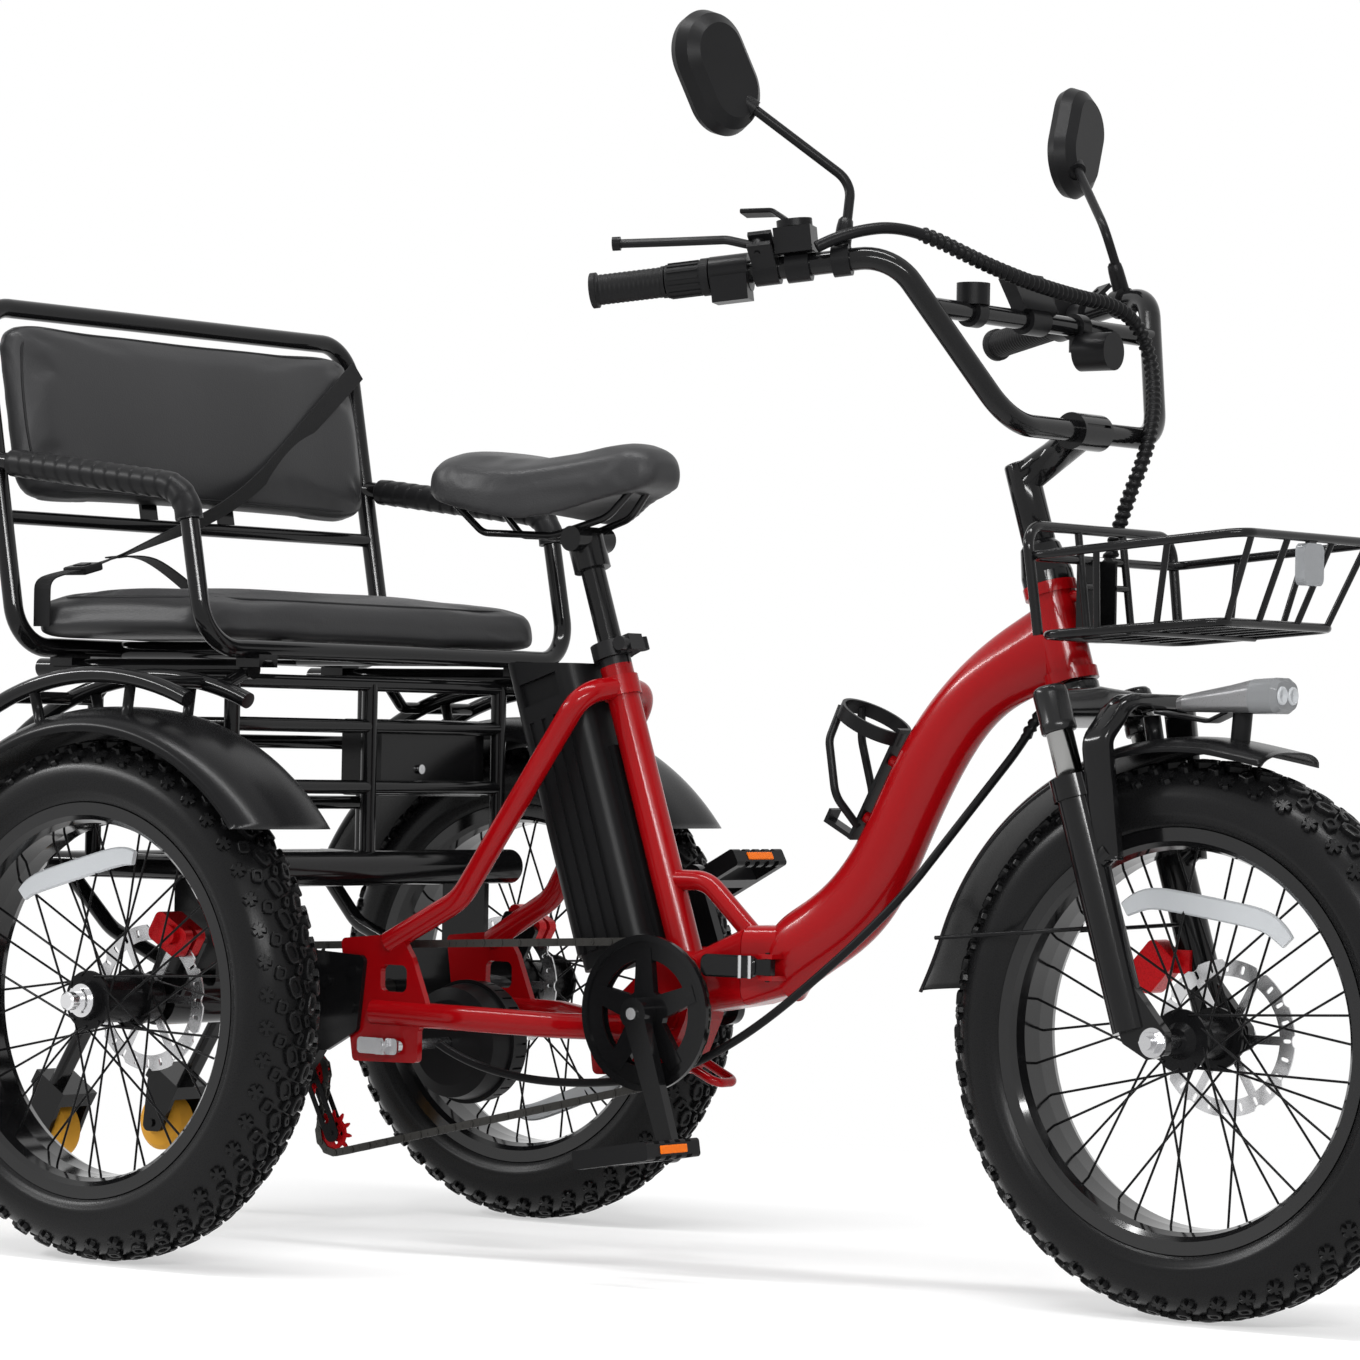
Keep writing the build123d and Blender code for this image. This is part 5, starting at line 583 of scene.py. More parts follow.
run_cable, run_line, run_length = wrapped_cable("frame_cable_run", FRAME_ROUTE, RUN_RADIUS, (0, 1, 0),
                                                0.02, 0.12, 0.003)
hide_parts("frame_cables")
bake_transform(run_cable)
print("cables", round(float(loom_length), 3), round(float(run_length), 3), "m")


# %% [markdown]
# ## Tyres
#
# A fat tyre is a smooth carcass with rows of small knobs. The carcass is one closed section turned round the
# axle. A knob is a small template with a few dozen faces. It is copied round the wheel by adding
# angles to its own, and leaned to lie on the curve of the tyre.

# %% Carcass section
SECTION_TURN, SECTION_MIDDLE = 0.5 * np.pi + 0.86, 237.0
OUTER_HALF, OUTER_RISE, INNER_HALF, INNER_RISE = 49.0, 39.5, 43.0, 31.0
BEAD_FROM, BEAD_TO, BEAD_HALF, LINING_FROM, LINING_HALF = 208.0, 215.0, 38.2, 210.0, 36.5
# Height, place round the section and width of each fine rib on the sidewall.
SIDE_RIBS = [(0.9, 1.78, 0.05), (0.5, 1.16, 0.03)]


def carcass_section():
    """Outside from bead to bead over the crown, then back along the inside, as (along axle, radius) in mm."""
    turn = np.linspace(-SECTION_TURN, SECTION_TURN, 61)
    bulge = np.abs(np.cos(turn)) ** 0.92 * np.sign(np.cos(turn))
    outer = np.stack([OUTER_HALF * np.sin(turn), SECTION_MIDDLE + OUTER_RISE * bulge], 1)
    rib = sum(height * np.exp(-((np.abs(turn) - place) / wide) ** 2) for height, place, wide in SIDE_RIBS)
    outer = outer + rib[:, None] * np.stack([np.sin(turn), np.cos(turn)], 1)
    outer = outer[outer[:, 1] > BEAD_FROM]
    low = outer[:, 1] < BEAD_TO
    outer[low, 0] = np.sign(outer[low, 0]) * np.minimum(np.abs(outer[low, 0]), BEAD_HALF)
    inner = np.stack([INNER_HALF * np.sin(turn), SECTION_MIDDLE + INNER_RISE * bulge], 1)[::-1]
    inner = inner[inner[:, 1] > LINING_FROM]
    inner[:, 0] = np.clip(inner[:, 0], -LINING_HALF, LINING_HALF) * 0.98 + 0.02 * inner[:, 0]
    return np.concatenate([outer, inner])


# %% Knob templates
def stacked(shape, levels):
    """Walls between scaled copies of an outline at given heights, closed by a face on the last one."""
    count = len(shape)
    points = np.concatenate([np.column_stack([shape * size, np.full(count, up)]) for size, up in levels])
    walls = grid_faces(len(levels), count, wrap_columns=True)[:, ::-1]
    return points, walls.tolist() + [list(range((len(levels) - 1) * count, len(levels) * count))]


def ring_knob(half_wide, half_long, height, square=0.62, hole=0.5):
    """A rounded knob with a bevelled edge and a hollow middle."""
    turn = np.linspace(0, 2 * np.pi, 8, endpoint=False) + np.pi / 8
    shape = np.stack([np.sign(np.cos(turn)) * np.abs(np.cos(turn)) ** square * half_wide,
                      np.sign(np.sin(turn)) * np.abs(np.sin(turn)) ** square * half_long], 1)
    levels = [(1.1, -3.0), (1.0, height - 1.0), (0.88, height), (hole + 0.12, height), (hole, height - 2.6)]
    return stacked(shape, levels)


def star_knob(tip, notch, height, lobes=5, half_lobe=0.34):
    """A knob with five blunt lobes: each lobe has two points at the tip, each gap one point further in."""
    middle = np.arange(lobes) * 2 * np.pi / lobes
    angle = np.stack([middle - half_lobe, middle + half_lobe, middle + np.pi / lobes], 1).ravel()
    reach = np.tile([tip, tip, notch], lobes)
    shape = np.stack([reach * np.cos(angle), reach * np.sin(angle)], 1)
    return stacked(shape, [(1.08, -3.0), (1.0, height - 0.8), (0.84, height)])


def knob_row(centre, template, count, along, radius, lean, phase, twist=0.0):
    """Copies of a template round the wheel: lean tips them with the tyre's curve, twist turns them flat."""
    points, faces = template
    c, s = np.cos(np.radians(twist)), np.sin(np.radians(twist))
    axial = points[:, 0] * c - points[:, 1] * s
    round_way = points[:, 0] * s + points[:, 1] * c
    up = points[:, 2]
    tip = np.radians(lean)
    out = radius + up * np.cos(tip) - axial * np.sin(tip)
    side = along + up * np.sin(tip) + axial * np.cos(tip)
    turn = (np.arange(count) + phase) * 2 * np.pi / count
    angle = turn[:, None] + round_way / radius
    flat = np.broadcast_to(side, angle.shape)
    place = np.stack([out * np.cos(angle), flat, out * np.sin(angle)], -1) / 1000
    size = len(points)
    every = [[v + k * size for v in face] for k in range(count) for face in faces]
    return (place + centre).reshape(-1, 3), every


KNOBS, TYRE_SEGMENTS = 48, 120
STAR = star_knob(8.4, 3.6, 4.6)
SQUARE = ring_knob(6.2, 7.6, 5.6, 0.5, 0.42)
OVAL = ring_knob(7.2, 12.0, 6.0, 0.72, 0.5)
LINK = ring_knob(3.4, 6.5, 5.6, 0.5, 0.3)
# Each row's template, place along the axle, radius, lean, phase and twist.
ROWS = [
    (STAR, 38.2, 262.7, 44.5, 0.0, 14.0),
    (SQUARE, 25.4, 271.2, 26.5, -0.37, 16.0),
    (OVAL, 11.6, 275.4, 11.0, 0.19, -20.0),
    (LINK, 3.8, 276.4, 3.5, -0.3, 22.0),
]


def build_tyre(wheel, centre, body):
    """Carcass and knob rows of one wheel, joined in one mesh."""
    section = carcass_section()
    points = [lathe_points(centre, section, TYRE_SEGMENTS).reshape(-1, 3)]
    faces = grid_faces(len(section), TYRE_SEGMENTS, True, True).tolist()
    for template, along, radius, lean, phase, twist in ROWS:
        for side in (-1, 1):
            row, row_faces = knob_row(centre, template, KNOBS, side * along, radius, side * lean,
                                      phase + (0.0 if side > 0 else 0.5), side * twist)
            start = sum(len(p) for p in points)
            points.append(row)
            faces += [[v + start for v in face] for face in row_faces]
    tyre = make_object(wheel + "_knobby_tyre", np.concatenate(points), faces, RUBBER, smooth=False)
    count = len(section) * TYRE_SEGMENTS
    flags = np.zeros(len(tyre.data.polygons), bool)
    flags[:count] = True
    tyre.data.polygons.foreach_set("use_smooth", flags)
    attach(tyre, body)
    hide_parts(wheel + "_tyre")
    return tyre


for wheel, (centre, disc_at, body) in WHEELS.items():
    tyre = build_tyre(wheel, centre, body)
print("tyre faces", len(tyre.data.polygons))


# %% [markdown]
# ## Stuffed pads
#
# The bench pads and the saddle are foam under vinyl. A copy of a pad's CAD solid, or a saddle shape worked
# out from sections, is remeshed to even squares and then inflated a little as cloth, which rounds the edges
# and tightens the faces the way a stuffed cover does. The underside is pinned, because it rests on a board.

# %% Vinyl
VINYL = finish("dark_vinyl", (0.021, 0.021, 0.022), 0.42, drift=0.14, drift_scale=9.0, bump=0.35,
               grain_scale=520, bump_distance=0.0006, rough_swing=0.06, specular=0.2)


# %% Pad maker
def merged_copy(node, name):
    """A new object with the node's shape, its triangles joined."""
    piece = bpy.data.objects.new(name, NODES[node].data.copy())
    bpy.context.scene.collection.objects.link(piece)
    work = bmesh.new()
    work.from_mesh(piece.data)
    bmesh.ops.remove_doubles(work, verts=work.verts, dist=1e-5)
    work.to_mesh(piece.data)
    work.free()
    return piece


def apply_modifiers(piece):
    """Replace the mesh by what its modifiers make of it."""
    bpy.context.view_layer.update()
    ready = piece.evaluated_get(bpy.context.evaluated_depsgraph_get())
    made = bpy.data.meshes.new_from_object(ready)
    piece.modifiers.clear()
    piece.data = made


def coords(mesh):
    """The mesh's points as an array."""
    flat = np.zeros(len(mesh.vertices) * 3)
    mesh.vertices.foreach_get("co", flat)
    return flat.reshape(-1, 3)


def inflate(piece, pinned, cap, pressure=4.0, frames=20):
    """Blow the pad up as cloth for a few frames, with no point moved further than the cap."""
    start = coords(piece.data)
    group = piece.vertex_groups.new(name="rests")
    group.add(np.flatnonzero(pinned(start)).tolist(), 1.0, "REPLACE")
    cloth = piece.modifiers.new("cloth", "CLOTH")
    cloth.settings.use_pressure = True
    cloth.settings.uniform_pressure_force = pressure
    cloth.settings.vertex_group_mass = "rests"
    cloth.settings.effector_weights.gravity = 0.0
    scene = bpy.context.scene
    for number in range(1, frames + 1):
        scene.frame_set(number)
    apply_modifiers(piece)
    scene.frame_set(1)
    moved = coords(piece.data) - start
    far = np.linalg.norm(moved, axis=1, keepdims=True)
    moved *= np.minimum(1.0, cap / np.maximum(far, 1e-9))
    piece.data.vertices.foreach_set("co", (start + moved).ravel())
    piece.data.update()
    print(piece.name, "moved up to", round(float(far.max()) * 1000, 1), "mm, capped at", cap * 1000)


def stuffed(node, name, body, material, pinned, cap, voxel=0.006, soft=2, shape=None):
    """A pad from the node's solid or a given shape: remeshed, inflated, softened, standing for the node."""
    piece = shape or merged_copy(node, name)
    piece.data.materials.clear()
    piece.data.materials.append(material)
    remesh = piece.modifiers.new("even", "REMESH")
    remesh.mode = "VOXEL"
    remesh.voxel_size = voxel
    apply_modifiers(piece)
    inflate(piece, pinned, cap)
    soften = piece.modifiers.new("soften", "SMOOTH")
    soften.factor = 0.5
    soften.iterations = soft
    finer = piece.modifiers.new("finer", "SUBSURF")
    finer.levels = finer.render_levels = 1
    apply_modifiers(piece)
    piece.data.polygons.foreach_set("use_smooth", np.full(len(piece.data.polygons), True))
    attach(piece, body)
    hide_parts(node)
    return piece


# %% Saddle shape
# Stations from tail to nose: mm ahead of the rear axle, low and high edge, half width, depth of the skirt.
SADDLE = np.array([
    (176, 850, 866, 36, 1),
    (188, 841, 880, 72, 3),
    (212, 834, 889, 94, 6),
    (245, 831, 891, 104, 14),
    (290, 832, 883, 106, 28),
    (330, 835, 880, 98, 40),
    (368, 839, 886, 76, 36),
    (405, 842, 894, 54, 18),
    (436, 845, 897, 45, 7),
    (456, 849, 891, 36, 3),
    (467, 858, 876, 22, 1),
], float)


def saddle_shape(rows=100, columns=56):
    """Sections across the saddle, from stations of (ahead, low, high, half width, skirt) in mm.

    The top is a full arch, a power of the sine, and the underside is a hollow between two skirts.
    """
    ahead = np.interp(np.linspace(0, len(SADDLE) - 1, rows), np.arange(len(SADDLE)), SADDLE[:, 0])
    sizes = np.stack([np.interp(ahead, SADDLE[:, 0], SADDLE[:, k]) for k in range(1, 5)], 1)
    for passes in range(12):
        sizes[1:-1] = (sizes[:-2] + 2 * sizes[1:-1] + sizes[2:]) / 4
    low, high, half, skirt = (sizes[:, k:k + 1] for k in range(4))
    turn = np.linspace(0, 2 * np.pi, columns, endpoint=False)
    over, under = np.clip(np.sin(turn), 0, 1) ** 0.7, np.clip(-np.sin(turn), 0, 1) ** 0.26
    side = half * np.sign(np.cos(turn)) * np.abs(np.cos(turn)) ** 0.75
    middle = (low + high) / 2 - 4
    up = middle + (high - middle) * over - (middle - low + skirt * np.cos(turn) ** 2) * under
    points = np.stack([ahead[:, None] + 0 * side, side, up], -1) / 1000 + np.array([REAR_AXLE, 0, 0])
    return make_object("saddle_cover", points, tube_faces(rows, columns), VINYL)


# %% Seat pad, backrest pad and saddle
BENCH_CAP, SADDLE_CAP = 0.004, 0.003
SEAT_REST, BACK_REST, SADDLE_REST = 0.012, -0.004, 0.848
SEAT_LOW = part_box("bench_seat_pad")[0][2]
seat_pad = stuffed("bench_seat_pad", "bench_cushion", "rear_frame", VINYL,
                   lambda p: p[:, 2] < SEAT_LOW + SEAT_REST, BENCH_CAP)

BACK_ORIGIN = spot(-247, 0, 934)
HOOP_LOW, HOOP_HIGH = (-275.0, 667.0), (-203.0, 1052.0)
BACK_TILT = np.arctan2(HOOP_HIGH[0] - HOOP_LOW[0], HOOP_HIGH[1] - HOOP_LOW[1])
BACK_NORMAL = np.array([np.cos(BACK_TILT), 0, np.sin(BACK_TILT)])
BACK_SIDE = np.array([0, 1.0, 0])
BACK_UP = np.cross(BACK_NORMAL, BACK_SIDE)
back_pad = stuffed("bench_back_pad", "backrest_cushion", "rear_frame", VINYL,
                   lambda p: (p - BACK_ORIGIN) @ BACK_NORMAL < BACK_REST, BENCH_CAP)
saddle = stuffed("saddle", "saddle_cover", "seatpost", VINYL, lambda p: p[:, 2] < SADDLE_REST, SADDLE_CAP,
                 voxel=0.0045, soft=4, shape=saddle_shape())
print("pads", len(seat_pad.data.polygons), len(back_pad.data.polygons), len(saddle.data.polygons))


# %% [markdown]
# ## The lap belt
#
# Flat webbing runs from the top left of the backrest to a buckle on the seat and round the end of the pad.
# A flat section is carried along a path, with its wide side given at each point, because webbing lies on
# what it touches and twists slowly between.

# %% Webbing
WEBBING = finish("webbing", (0.01, 0.01, 0.0105), 0.62, drift=0.2, bump=0.5, grain_scale=1600,
                 bump_distance=0.0005)
BELT_WIDE, BELT_THICK, SECTION_SIDES = 0.025, 0.0018, 8


def on_back(side, up, out):
    """A point in front of the backrest: mm to the left, up along it, and out from it."""
    return BACK_ORIGIN + (BACK_SIDE * side + BACK_UP * up + BACK_NORMAL * out) / 1000


def flat_section(corner, shoulder):
    """Eight points round a flat section one wide and one thick, with its four corners cut."""
    return np.array([(-0.5, -shoulder), (-corner, -0.5), (corner, -0.5), (0.5, -shoulder),
                     (0.5, shoulder), (corner, 0.5), (-corner, 0.5), (-0.5, shoulder)])


def ribbon(name, path, wide_ways, material, body, width=BELT_WIDE, thick=BELT_THICK, step=0.004):
    """A strip along a path: a rounded flat section, its wide side turning between the given directions."""
    path = np.asarray(path)
    run = np.concatenate([[0], np.cumsum(np.linalg.norm(np.diff(path, axis=0), axis=1))])
    line, wanted = even_steps(path, step)
    wide = unit(np.stack([np.interp(wanted, run, np.asarray(wide_ways)[:, k]) for k in range(3)], 1))
    ahead = unit(np.gradient(line, axis=0))
    wide = unit(wide - ahead * np.sum(wide * ahead, 1, keepdims=True))
    face = np.cross(ahead, wide)
    outline = flat_section(0.47, 0.3)[None]
    points = line[:, None] + outline[..., :1] * width * wide[:, None]
    points = points + outline[..., 1:] * thick * face[:, None]
    piece = make_object(name, points, tube_faces(len(line), SECTION_SIDES), material, smooth=False)
    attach(piece, body)
    return piece


belt_points = [on_back(284, 80, 33.4), on_back(180, 4, 33.6), on_back(40, -98, 33.2), spot(-200, -118, 788),
               spot(-190, -190, 768), spot(-182, -230, 759)]
belt_line = spline_line("belt", belt_points)
share = np.linspace(0, 1, len(belt_line))[:, None]
belt_ways = BACK_UP * (1 - share) + np.array([1.0, 0.1, 0.1]) * share
belt = ribbon("lap_belt", belt_line, belt_ways, WEBBING, "rear_frame")
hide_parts("seat_belt")
end_line = spline_line("belt_end", [spot(-182, -242, 756), spot(-182, -275, 750), spot(-182, -300.2, 742),
                                    spot(-182, -300.4, 722), spot(-182, -300.2, 690)])
belt_end = ribbon("lap_belt_end", end_line, np.tile([1.0, 0, 0], (len(end_line), 1)), WEBBING, "rear_frame")
print("belt points", len(belt_line))


# %% Buckle and loose tail
def block(name, centre, ways, size, bevel, material, body):
    """A box with rounded edges: its sides, in mm, lie along three given directions."""
    work = bmesh.new()
    bmesh.ops.create_cube(work, size=1.0)
    place = pose_matrix([way * side / 1000 for way, side in zip(ways, size)], centre)
    bmesh.ops.transform(work, matrix=place, verts=work.verts)
    bmesh.ops.bevel(work, geom=work.edges[:], offset=bevel / 1000, segments=2, profile=0.5, affect="EDGES")
    mesh = bpy.data.meshes.new(name)
    work.to_mesh(mesh)
    work.free()
    piece = bpy.data.objects.new(name, mesh)
    bpy.context.scene.collection.objects.link(piece)
    mesh.materials.append(material)
    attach(piece, body)
    return piece


BUCKLE_TILT = np.radians(14.0)
BUCKLE_WAYS = [AHEAD, np.array([0, np.cos(BUCKLE_TILT), np.sin(BUCKLE_TILT)]),
               np.array([0, -np.sin(BUCKLE_TILT), np.cos(BUCKLE_TILT)])]
BUCKLE_AT = spot(-182, -236, 757)
BUTTON_LIFT = 0.0048
block("belt_buckle", BUCKLE_AT, BUCKLE_WAYS, (34, 31, 9.5), 2.2, BLACK_PLASTIC, "rear_frame")
block("belt_buckle_button", BUCKLE_AT + BUCKLE_WAYS[2] * BUTTON_LIFT, BUCKLE_WAYS, (18, 12, 2.4), 0.8,
      SATIN_BLACK, "rear_frame")
tail_line = spline_line("belt_tail", [spot(-192, -178, 772), spot(-190, -140, 778), spot(-186, -96, 764),
                                      spot(-184, -52, 738)])
tail = ribbon("lap_belt_tail", tail_line, np.tile([1.0, 0, 0], (len(tail_line), 1)), WEBBING, "rear_frame")
print("belt finished")


# %% [markdown]
# ## Seams on the pads
#
# A cord of piping follows the edge of a sewn pad. Rays cast inward in one plane, from all round, give the
# loop where that plane cuts the pad's skin, and a thin tube is laid on the loop.

# %% Piping
def skin_loop(piece, origin, side_way, up_way, count=200, reach=0.5):
    """The closed line where a plane through the origin cuts the outside of a piece."""
    faces = [list(face.vertices) for face in piece.data.polygons]
    tree = BVHTree.FromPolygons(coords(piece.data).tolist(), faces)
    turn = np.linspace(0, 2 * np.pi, count, endpoint=False)[:, None]
    away = np.cos(turn) * side_way + np.sin(turn) * up_way
    hits = [tree.ray_cast((origin + way * reach).tolist(), (-way).tolist())[0] for way in away]
    loop = np.array([hit[:] for hit in hits])
    for passes in range(3):
        loop = (np.roll(loop, 1, 0) + 2 * loop + np.roll(loop, -1, 0)) / 4
    return loop


def piping(name, loop, radius, material, body, sides=8):
    """A closed tube along a loop."""
    ahead = unit(np.roll(loop, -1, 0) - np.roll(loop, 1, 0))
    middle = loop.mean(0)
    out = unit(loop - middle - ahead * np.sum((loop - middle) * ahead, 1, keepdims=True))
    over = np.cross(ahead, out)
    turn = np.linspace(0, 2 * np.pi, sides, endpoint=False)[None, :, None]
    points = loop[:, None] + radius * (np.cos(turn) * out[:, None] + np.sin(turn) * over[:, None])
    faces = grid_faces(len(loop), sides, True, True)
    piece = make_object(name, points, faces.tolist(), material)
    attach(piece, body)
    return piece


PIPING = finish("piping", (0.014, 0.014, 0.0147), 0.42, drift=0.2, bump=0.2, grain_scale=900)
PIPING_RADIUS, BACK_SEAM = 0.0016, 0.017
seat_seam = skin_loop(seat_pad, spot(-74, 0, 723), AHEAD, LEFT)
piping("bench_cushion_piping", seat_seam, PIPING_RADIUS, PIPING, "rear_frame")
back_seam = skin_loop(back_pad, BACK_ORIGIN + BACK_NORMAL * BACK_SEAM, BACK_SIDE, BACK_UP)
piping("backrest_piping", back_seam, PIPING_RADIUS, PIPING, "rear_frame")
print("piping done")


# %% [markdown]
# ## Wound armrests and ribbed grips
#
# The armrest is wrapped with a tape whose turns overlap. The lap is a saw-toothed step in the radius, which
# climbs along the tube by one tape pitch a turn. The grips are turned round the bar with a ring at each rib.

# %% Bent tubes
def bent_tube_line(points, bend, arc_steps=14):
    """The middle line of a bent tube: straight runs joined by arcs of the bend radius."""
    points = np.asarray(points, float)
    line = [points[0]]
    for before, corner, after in zip(points[:-2], points[1:-1], points[2:]):
        back, ahead = unit(before - corner), unit(after - corner)
        half = np.arccos(np.clip(np.dot(back, ahead), -1, 1)) / 2
        middle = corner + unit(back + ahead) * bend / np.sin(half)
        start, end = corner + back * bend / np.tan(half), corner + ahead * bend / np.tan(half)
        first, last = unit(start - middle), unit(end - middle)
        sweep = np.arccos(np.clip(np.dot(first, last), -1, 1))
        share = np.linspace(0, 1, arc_steps)[:, None]
        ways = (np.sin((1 - share) * sweep) * first + np.sin(share * sweep) * last) / np.sin(sweep)
        line.extend(middle + ways * bend)
    line.append(points[-1])
    return np.array(line)


def outward(points, faces):
    """The faces, all turned over if the volume they close comes out negative."""
    flat = np.asarray(points).reshape(-1, 3)
    flat = flat - flat.mean(0)
    volume = 0.0
    for face in faces:
        ring = flat[list(face)]
        volume += np.sum(np.cross(ring[1:-1], ring[2:]) @ ring[0])
    return faces if volume > 0 else [list(face)[::-1] for face in faces]


def joined(name, parts, material, smooth=True):
    """One mesh from several (points, faces) parts."""
    points, faces, start = [], [], 0
    for part_points, part_faces in parts:
        part_faces = outward(part_points, part_faces)
        points.append(np.asarray(part_points).reshape(-1, 3))
        faces += [[v + start for v in face] for face in part_faces]
        start += len(points[-1])
    return make_object(name, np.concatenate(points), faces, material, smooth)


# %% Armrest wraps
WRAP_RADIUS, WRAP_STEP, TAPE_PITCH, WRAP_SIDES = 0.0149, 0.0009, 0.019, 24
ARM_LEFT, ARM_BEND, RING_STEP = 316, 0.042, 0.0016
ARM_ROUTE = [(-215, 872.8), (47, 841), (53.6, 806.2)]
wraps = []
for side in (-1, 1):
    corners = [spot(forward, side * ARM_LEFT, up) for forward, up in ARM_ROUTE]
    line, run = even_steps(bent_tube_line(corners, ARM_BEND), RING_STEP)
    around = np.linspace(0, 1, WRAP_SIDES, endpoint=False)[None, :]
    lap = (run[:, None] / TAPE_PITCH + side * around) % 1.0
    radius = WRAP_RADIUS + WRAP_STEP * np.clip(np.minimum(1.25 * lap, 8 * (1 - lap)), 0, 1)
    points = tube_points(line, radius, WRAP_SIDES, (0, 1, 0))
    wraps.append((points, tube_faces(len(line), WRAP_SIDES)))
TAPE = finish("grip_tape", (0.008, 0.008, 0.0085), 0.38, drift=0.3, bump=0.2, grain_scale=1000)
wrap = joined("armrest_tape", wraps, TAPE)
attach(wrap, "rear_frame")
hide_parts("armrest_grips")

# %% Ribbed grips
GRIP_RADIUS, RIB, RIB_PITCH, GRIP_SIDES = 15.1, 0.4, 5.0, 32
grip_parts = []
for side, span in ((-1, 73.0), (1, 122.0)):
    inward = np.arange(-4.0, span + 0.01, 0.5)
    rib = RIB * np.clip(1.4 * np.sin(2 * np.pi * inward / RIB_PITCH) + 0.4, 0, 1)
    flange = np.where((inward < 2.0) | (inward > span - 4.0), 1.8 * (inward < 2.0) + 1.2, rib)
    line = np.stack([on_bar(side, step) for step in inward])
    points = tube_points(line, ((GRIP_RADIUS + flange) / 1000)[:, None], GRIP_SIDES, (0, 0, 1))
    grip_parts.append((points, tube_faces(len(line), GRIP_SIDES)))
ribbed = joined("ribbed_grips", grip_parts, GRIP_RUBBER)
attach(ribbed, "steering")
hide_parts("grips")
print("wraps and grips done")


# %% [markdown]
# ## Rounded castings and domed fenders
#
# The fork crown is a beam whose section changes from the steerer to a cup round each stanchion. The brace
# over the wheel is a smooth bent band. The fenders are thin domes turned round their axles. Each is one grid
# again: a section carried along a line, or a profile turned round an axis.

# %% Turned and swept parts
def revolved(start, axis, profile, sides=40):
    """A profile of (along, radius), in mm, turned round an axis from a start point."""
    profile = np.asarray(profile, float) / 1000
    across = unit(np.cross(axis, (0.31, 0.9, 0.3)))
    upright = np.cross(axis, across)
    turn = np.linspace(0, 2 * np.pi, sides, endpoint=False)[None, :, None]
    ring = np.cos(turn) * across + np.sin(turn) * upright
    points = start + profile[:, None, :1] * axis + profile[:, None, 1:] * ring
    return points, tube_faces(len(profile), sides)


def rod(start, end, radius, sides=20):
    """A plain round rod between two points, its radius in mm."""
    length = np.linalg.norm(end - start) * 1000
    return revolved(start, unit(end - start), [(0, radius), (length, radius)], sides)


def swept(line, wide_way, half_wide, half_thick, power=0.5, sides=32):
    """A rounded-box section, half sizes in mm, carried along a line, its wide side along one direction."""
    ahead = unit(np.gradient(line, axis=0))
    wide = unit(wide_way - ahead * (ahead @ wide_way)[:, None])
    face = np.cross(ahead, wide)
    turn = np.linspace(0, 2 * np.pi, sides, endpoint=False)
    across = (np.sign(np.cos(turn)) * np.abs(np.cos(turn)) ** power)[None, :, None]
    over = (np.sign(np.sin(turn)) * np.abs(np.sin(turn)) ** power)[None, :, None]
    half_wide = np.broadcast_to(half_wide, len(line))[:, None, None] / 1000
    half_thick = np.broadcast_to(half_thick, len(line))[:, None, None] / 1000
    points = line[:, None] + across * half_wide * wide[:, None] + over * half_thick * face[:, None]
    return points, tube_faces(len(line), sides)


# %% Fork crown, stanchions and brace
LEAN = np.radians(17.0)
STEER_ORIGIN = spot(993, 0, 641)
STEER_UP = np.array([-np.sin(LEAN), 0, np.cos(LEAN)])
STEER_AHEAD = np.array([np.cos(LEAN), 0, np.sin(LEAN)])
LEG_AHEAD, LEG_SIDE, LEG_ROUND = 20.0, 80.0, 40
STANCHION, STANCHION_LOW, STANCHION_HIGH = 14.0, -225, -55
CROWN_COLLAR = [(0, 22), (12, 26), (22, 26), (24, 24.5), (24.5, 20)]
CUP = [(-60, 15), (-60, 17.4), (-58.5, 18.4), (-50, 18.4), (-49, 17.8), (-20, 18.0), (-15, 17.2),
       (-12, 14.5), (-11, 9)]
BRACE_BEND, BRACE_STEP, BRACE_WIDE, BRACE_THICK = 0.024, 0.004, 16.0, 8.6
OTHER_SIDE = np.array([1, -1, 1])


def by_fork(ahead, left, up):
    """A point from the steering axis: mm ahead, left, and up along the leaning axis."""
    return STEER_ORIGIN + (STEER_AHEAD * ahead + LEFT * left + STEER_UP * up) / 1000


def stanchion(side):
    """One bare tube from inside the lower leg up into its cup."""
    low, high = (by_fork(LEG_AHEAD, side * LEG_SIDE, up) for up in (STANCHION_LOW, STANCHION_HIGH))
    return rod(low, high, STANCHION, LEG_ROUND)


across = np.linspace(-LEG_SIDE, LEG_SIDE, 61)
share = np.abs(across) / LEG_SIDE
beam_line = np.stack([by_fork(10 + 10 * s ** 2, v, -29 - 3 * s) for v, s in zip(across, share)])
crown_parts = [swept(beam_line, STEER_AHEAD, 27 - 11 * share ** 1.5, 18 - 3 * share)]
crown_parts.append(revolved(by_fork(0, 0, -26), STEER_UP, CROWN_COLLAR))
for side in (-1, 1):
    crown_parts.append(revolved(by_fork(LEG_AHEAD, side * LEG_SIDE, 0), STEER_UP, CUP))
CROWN_BLACK = finish("crown_black", CAST_BLACK, 0.2, drift=0.3, bump=0.05, specular=0.3)
crown = joined("fork_crown_casting", crown_parts, CROWN_BLACK)
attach(crown, "steering")
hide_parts("fork_crown")

CHROME = finish("stanchion_chrome", (0.26, 0.26, 0.255), 0.16, metallic=1.0, drift=0.1, bump=0.02)
tubes = joined("stanchion_tubes", [stanchion(side) for side in (-1, 1)], CHROME)
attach(tubes, "steering")

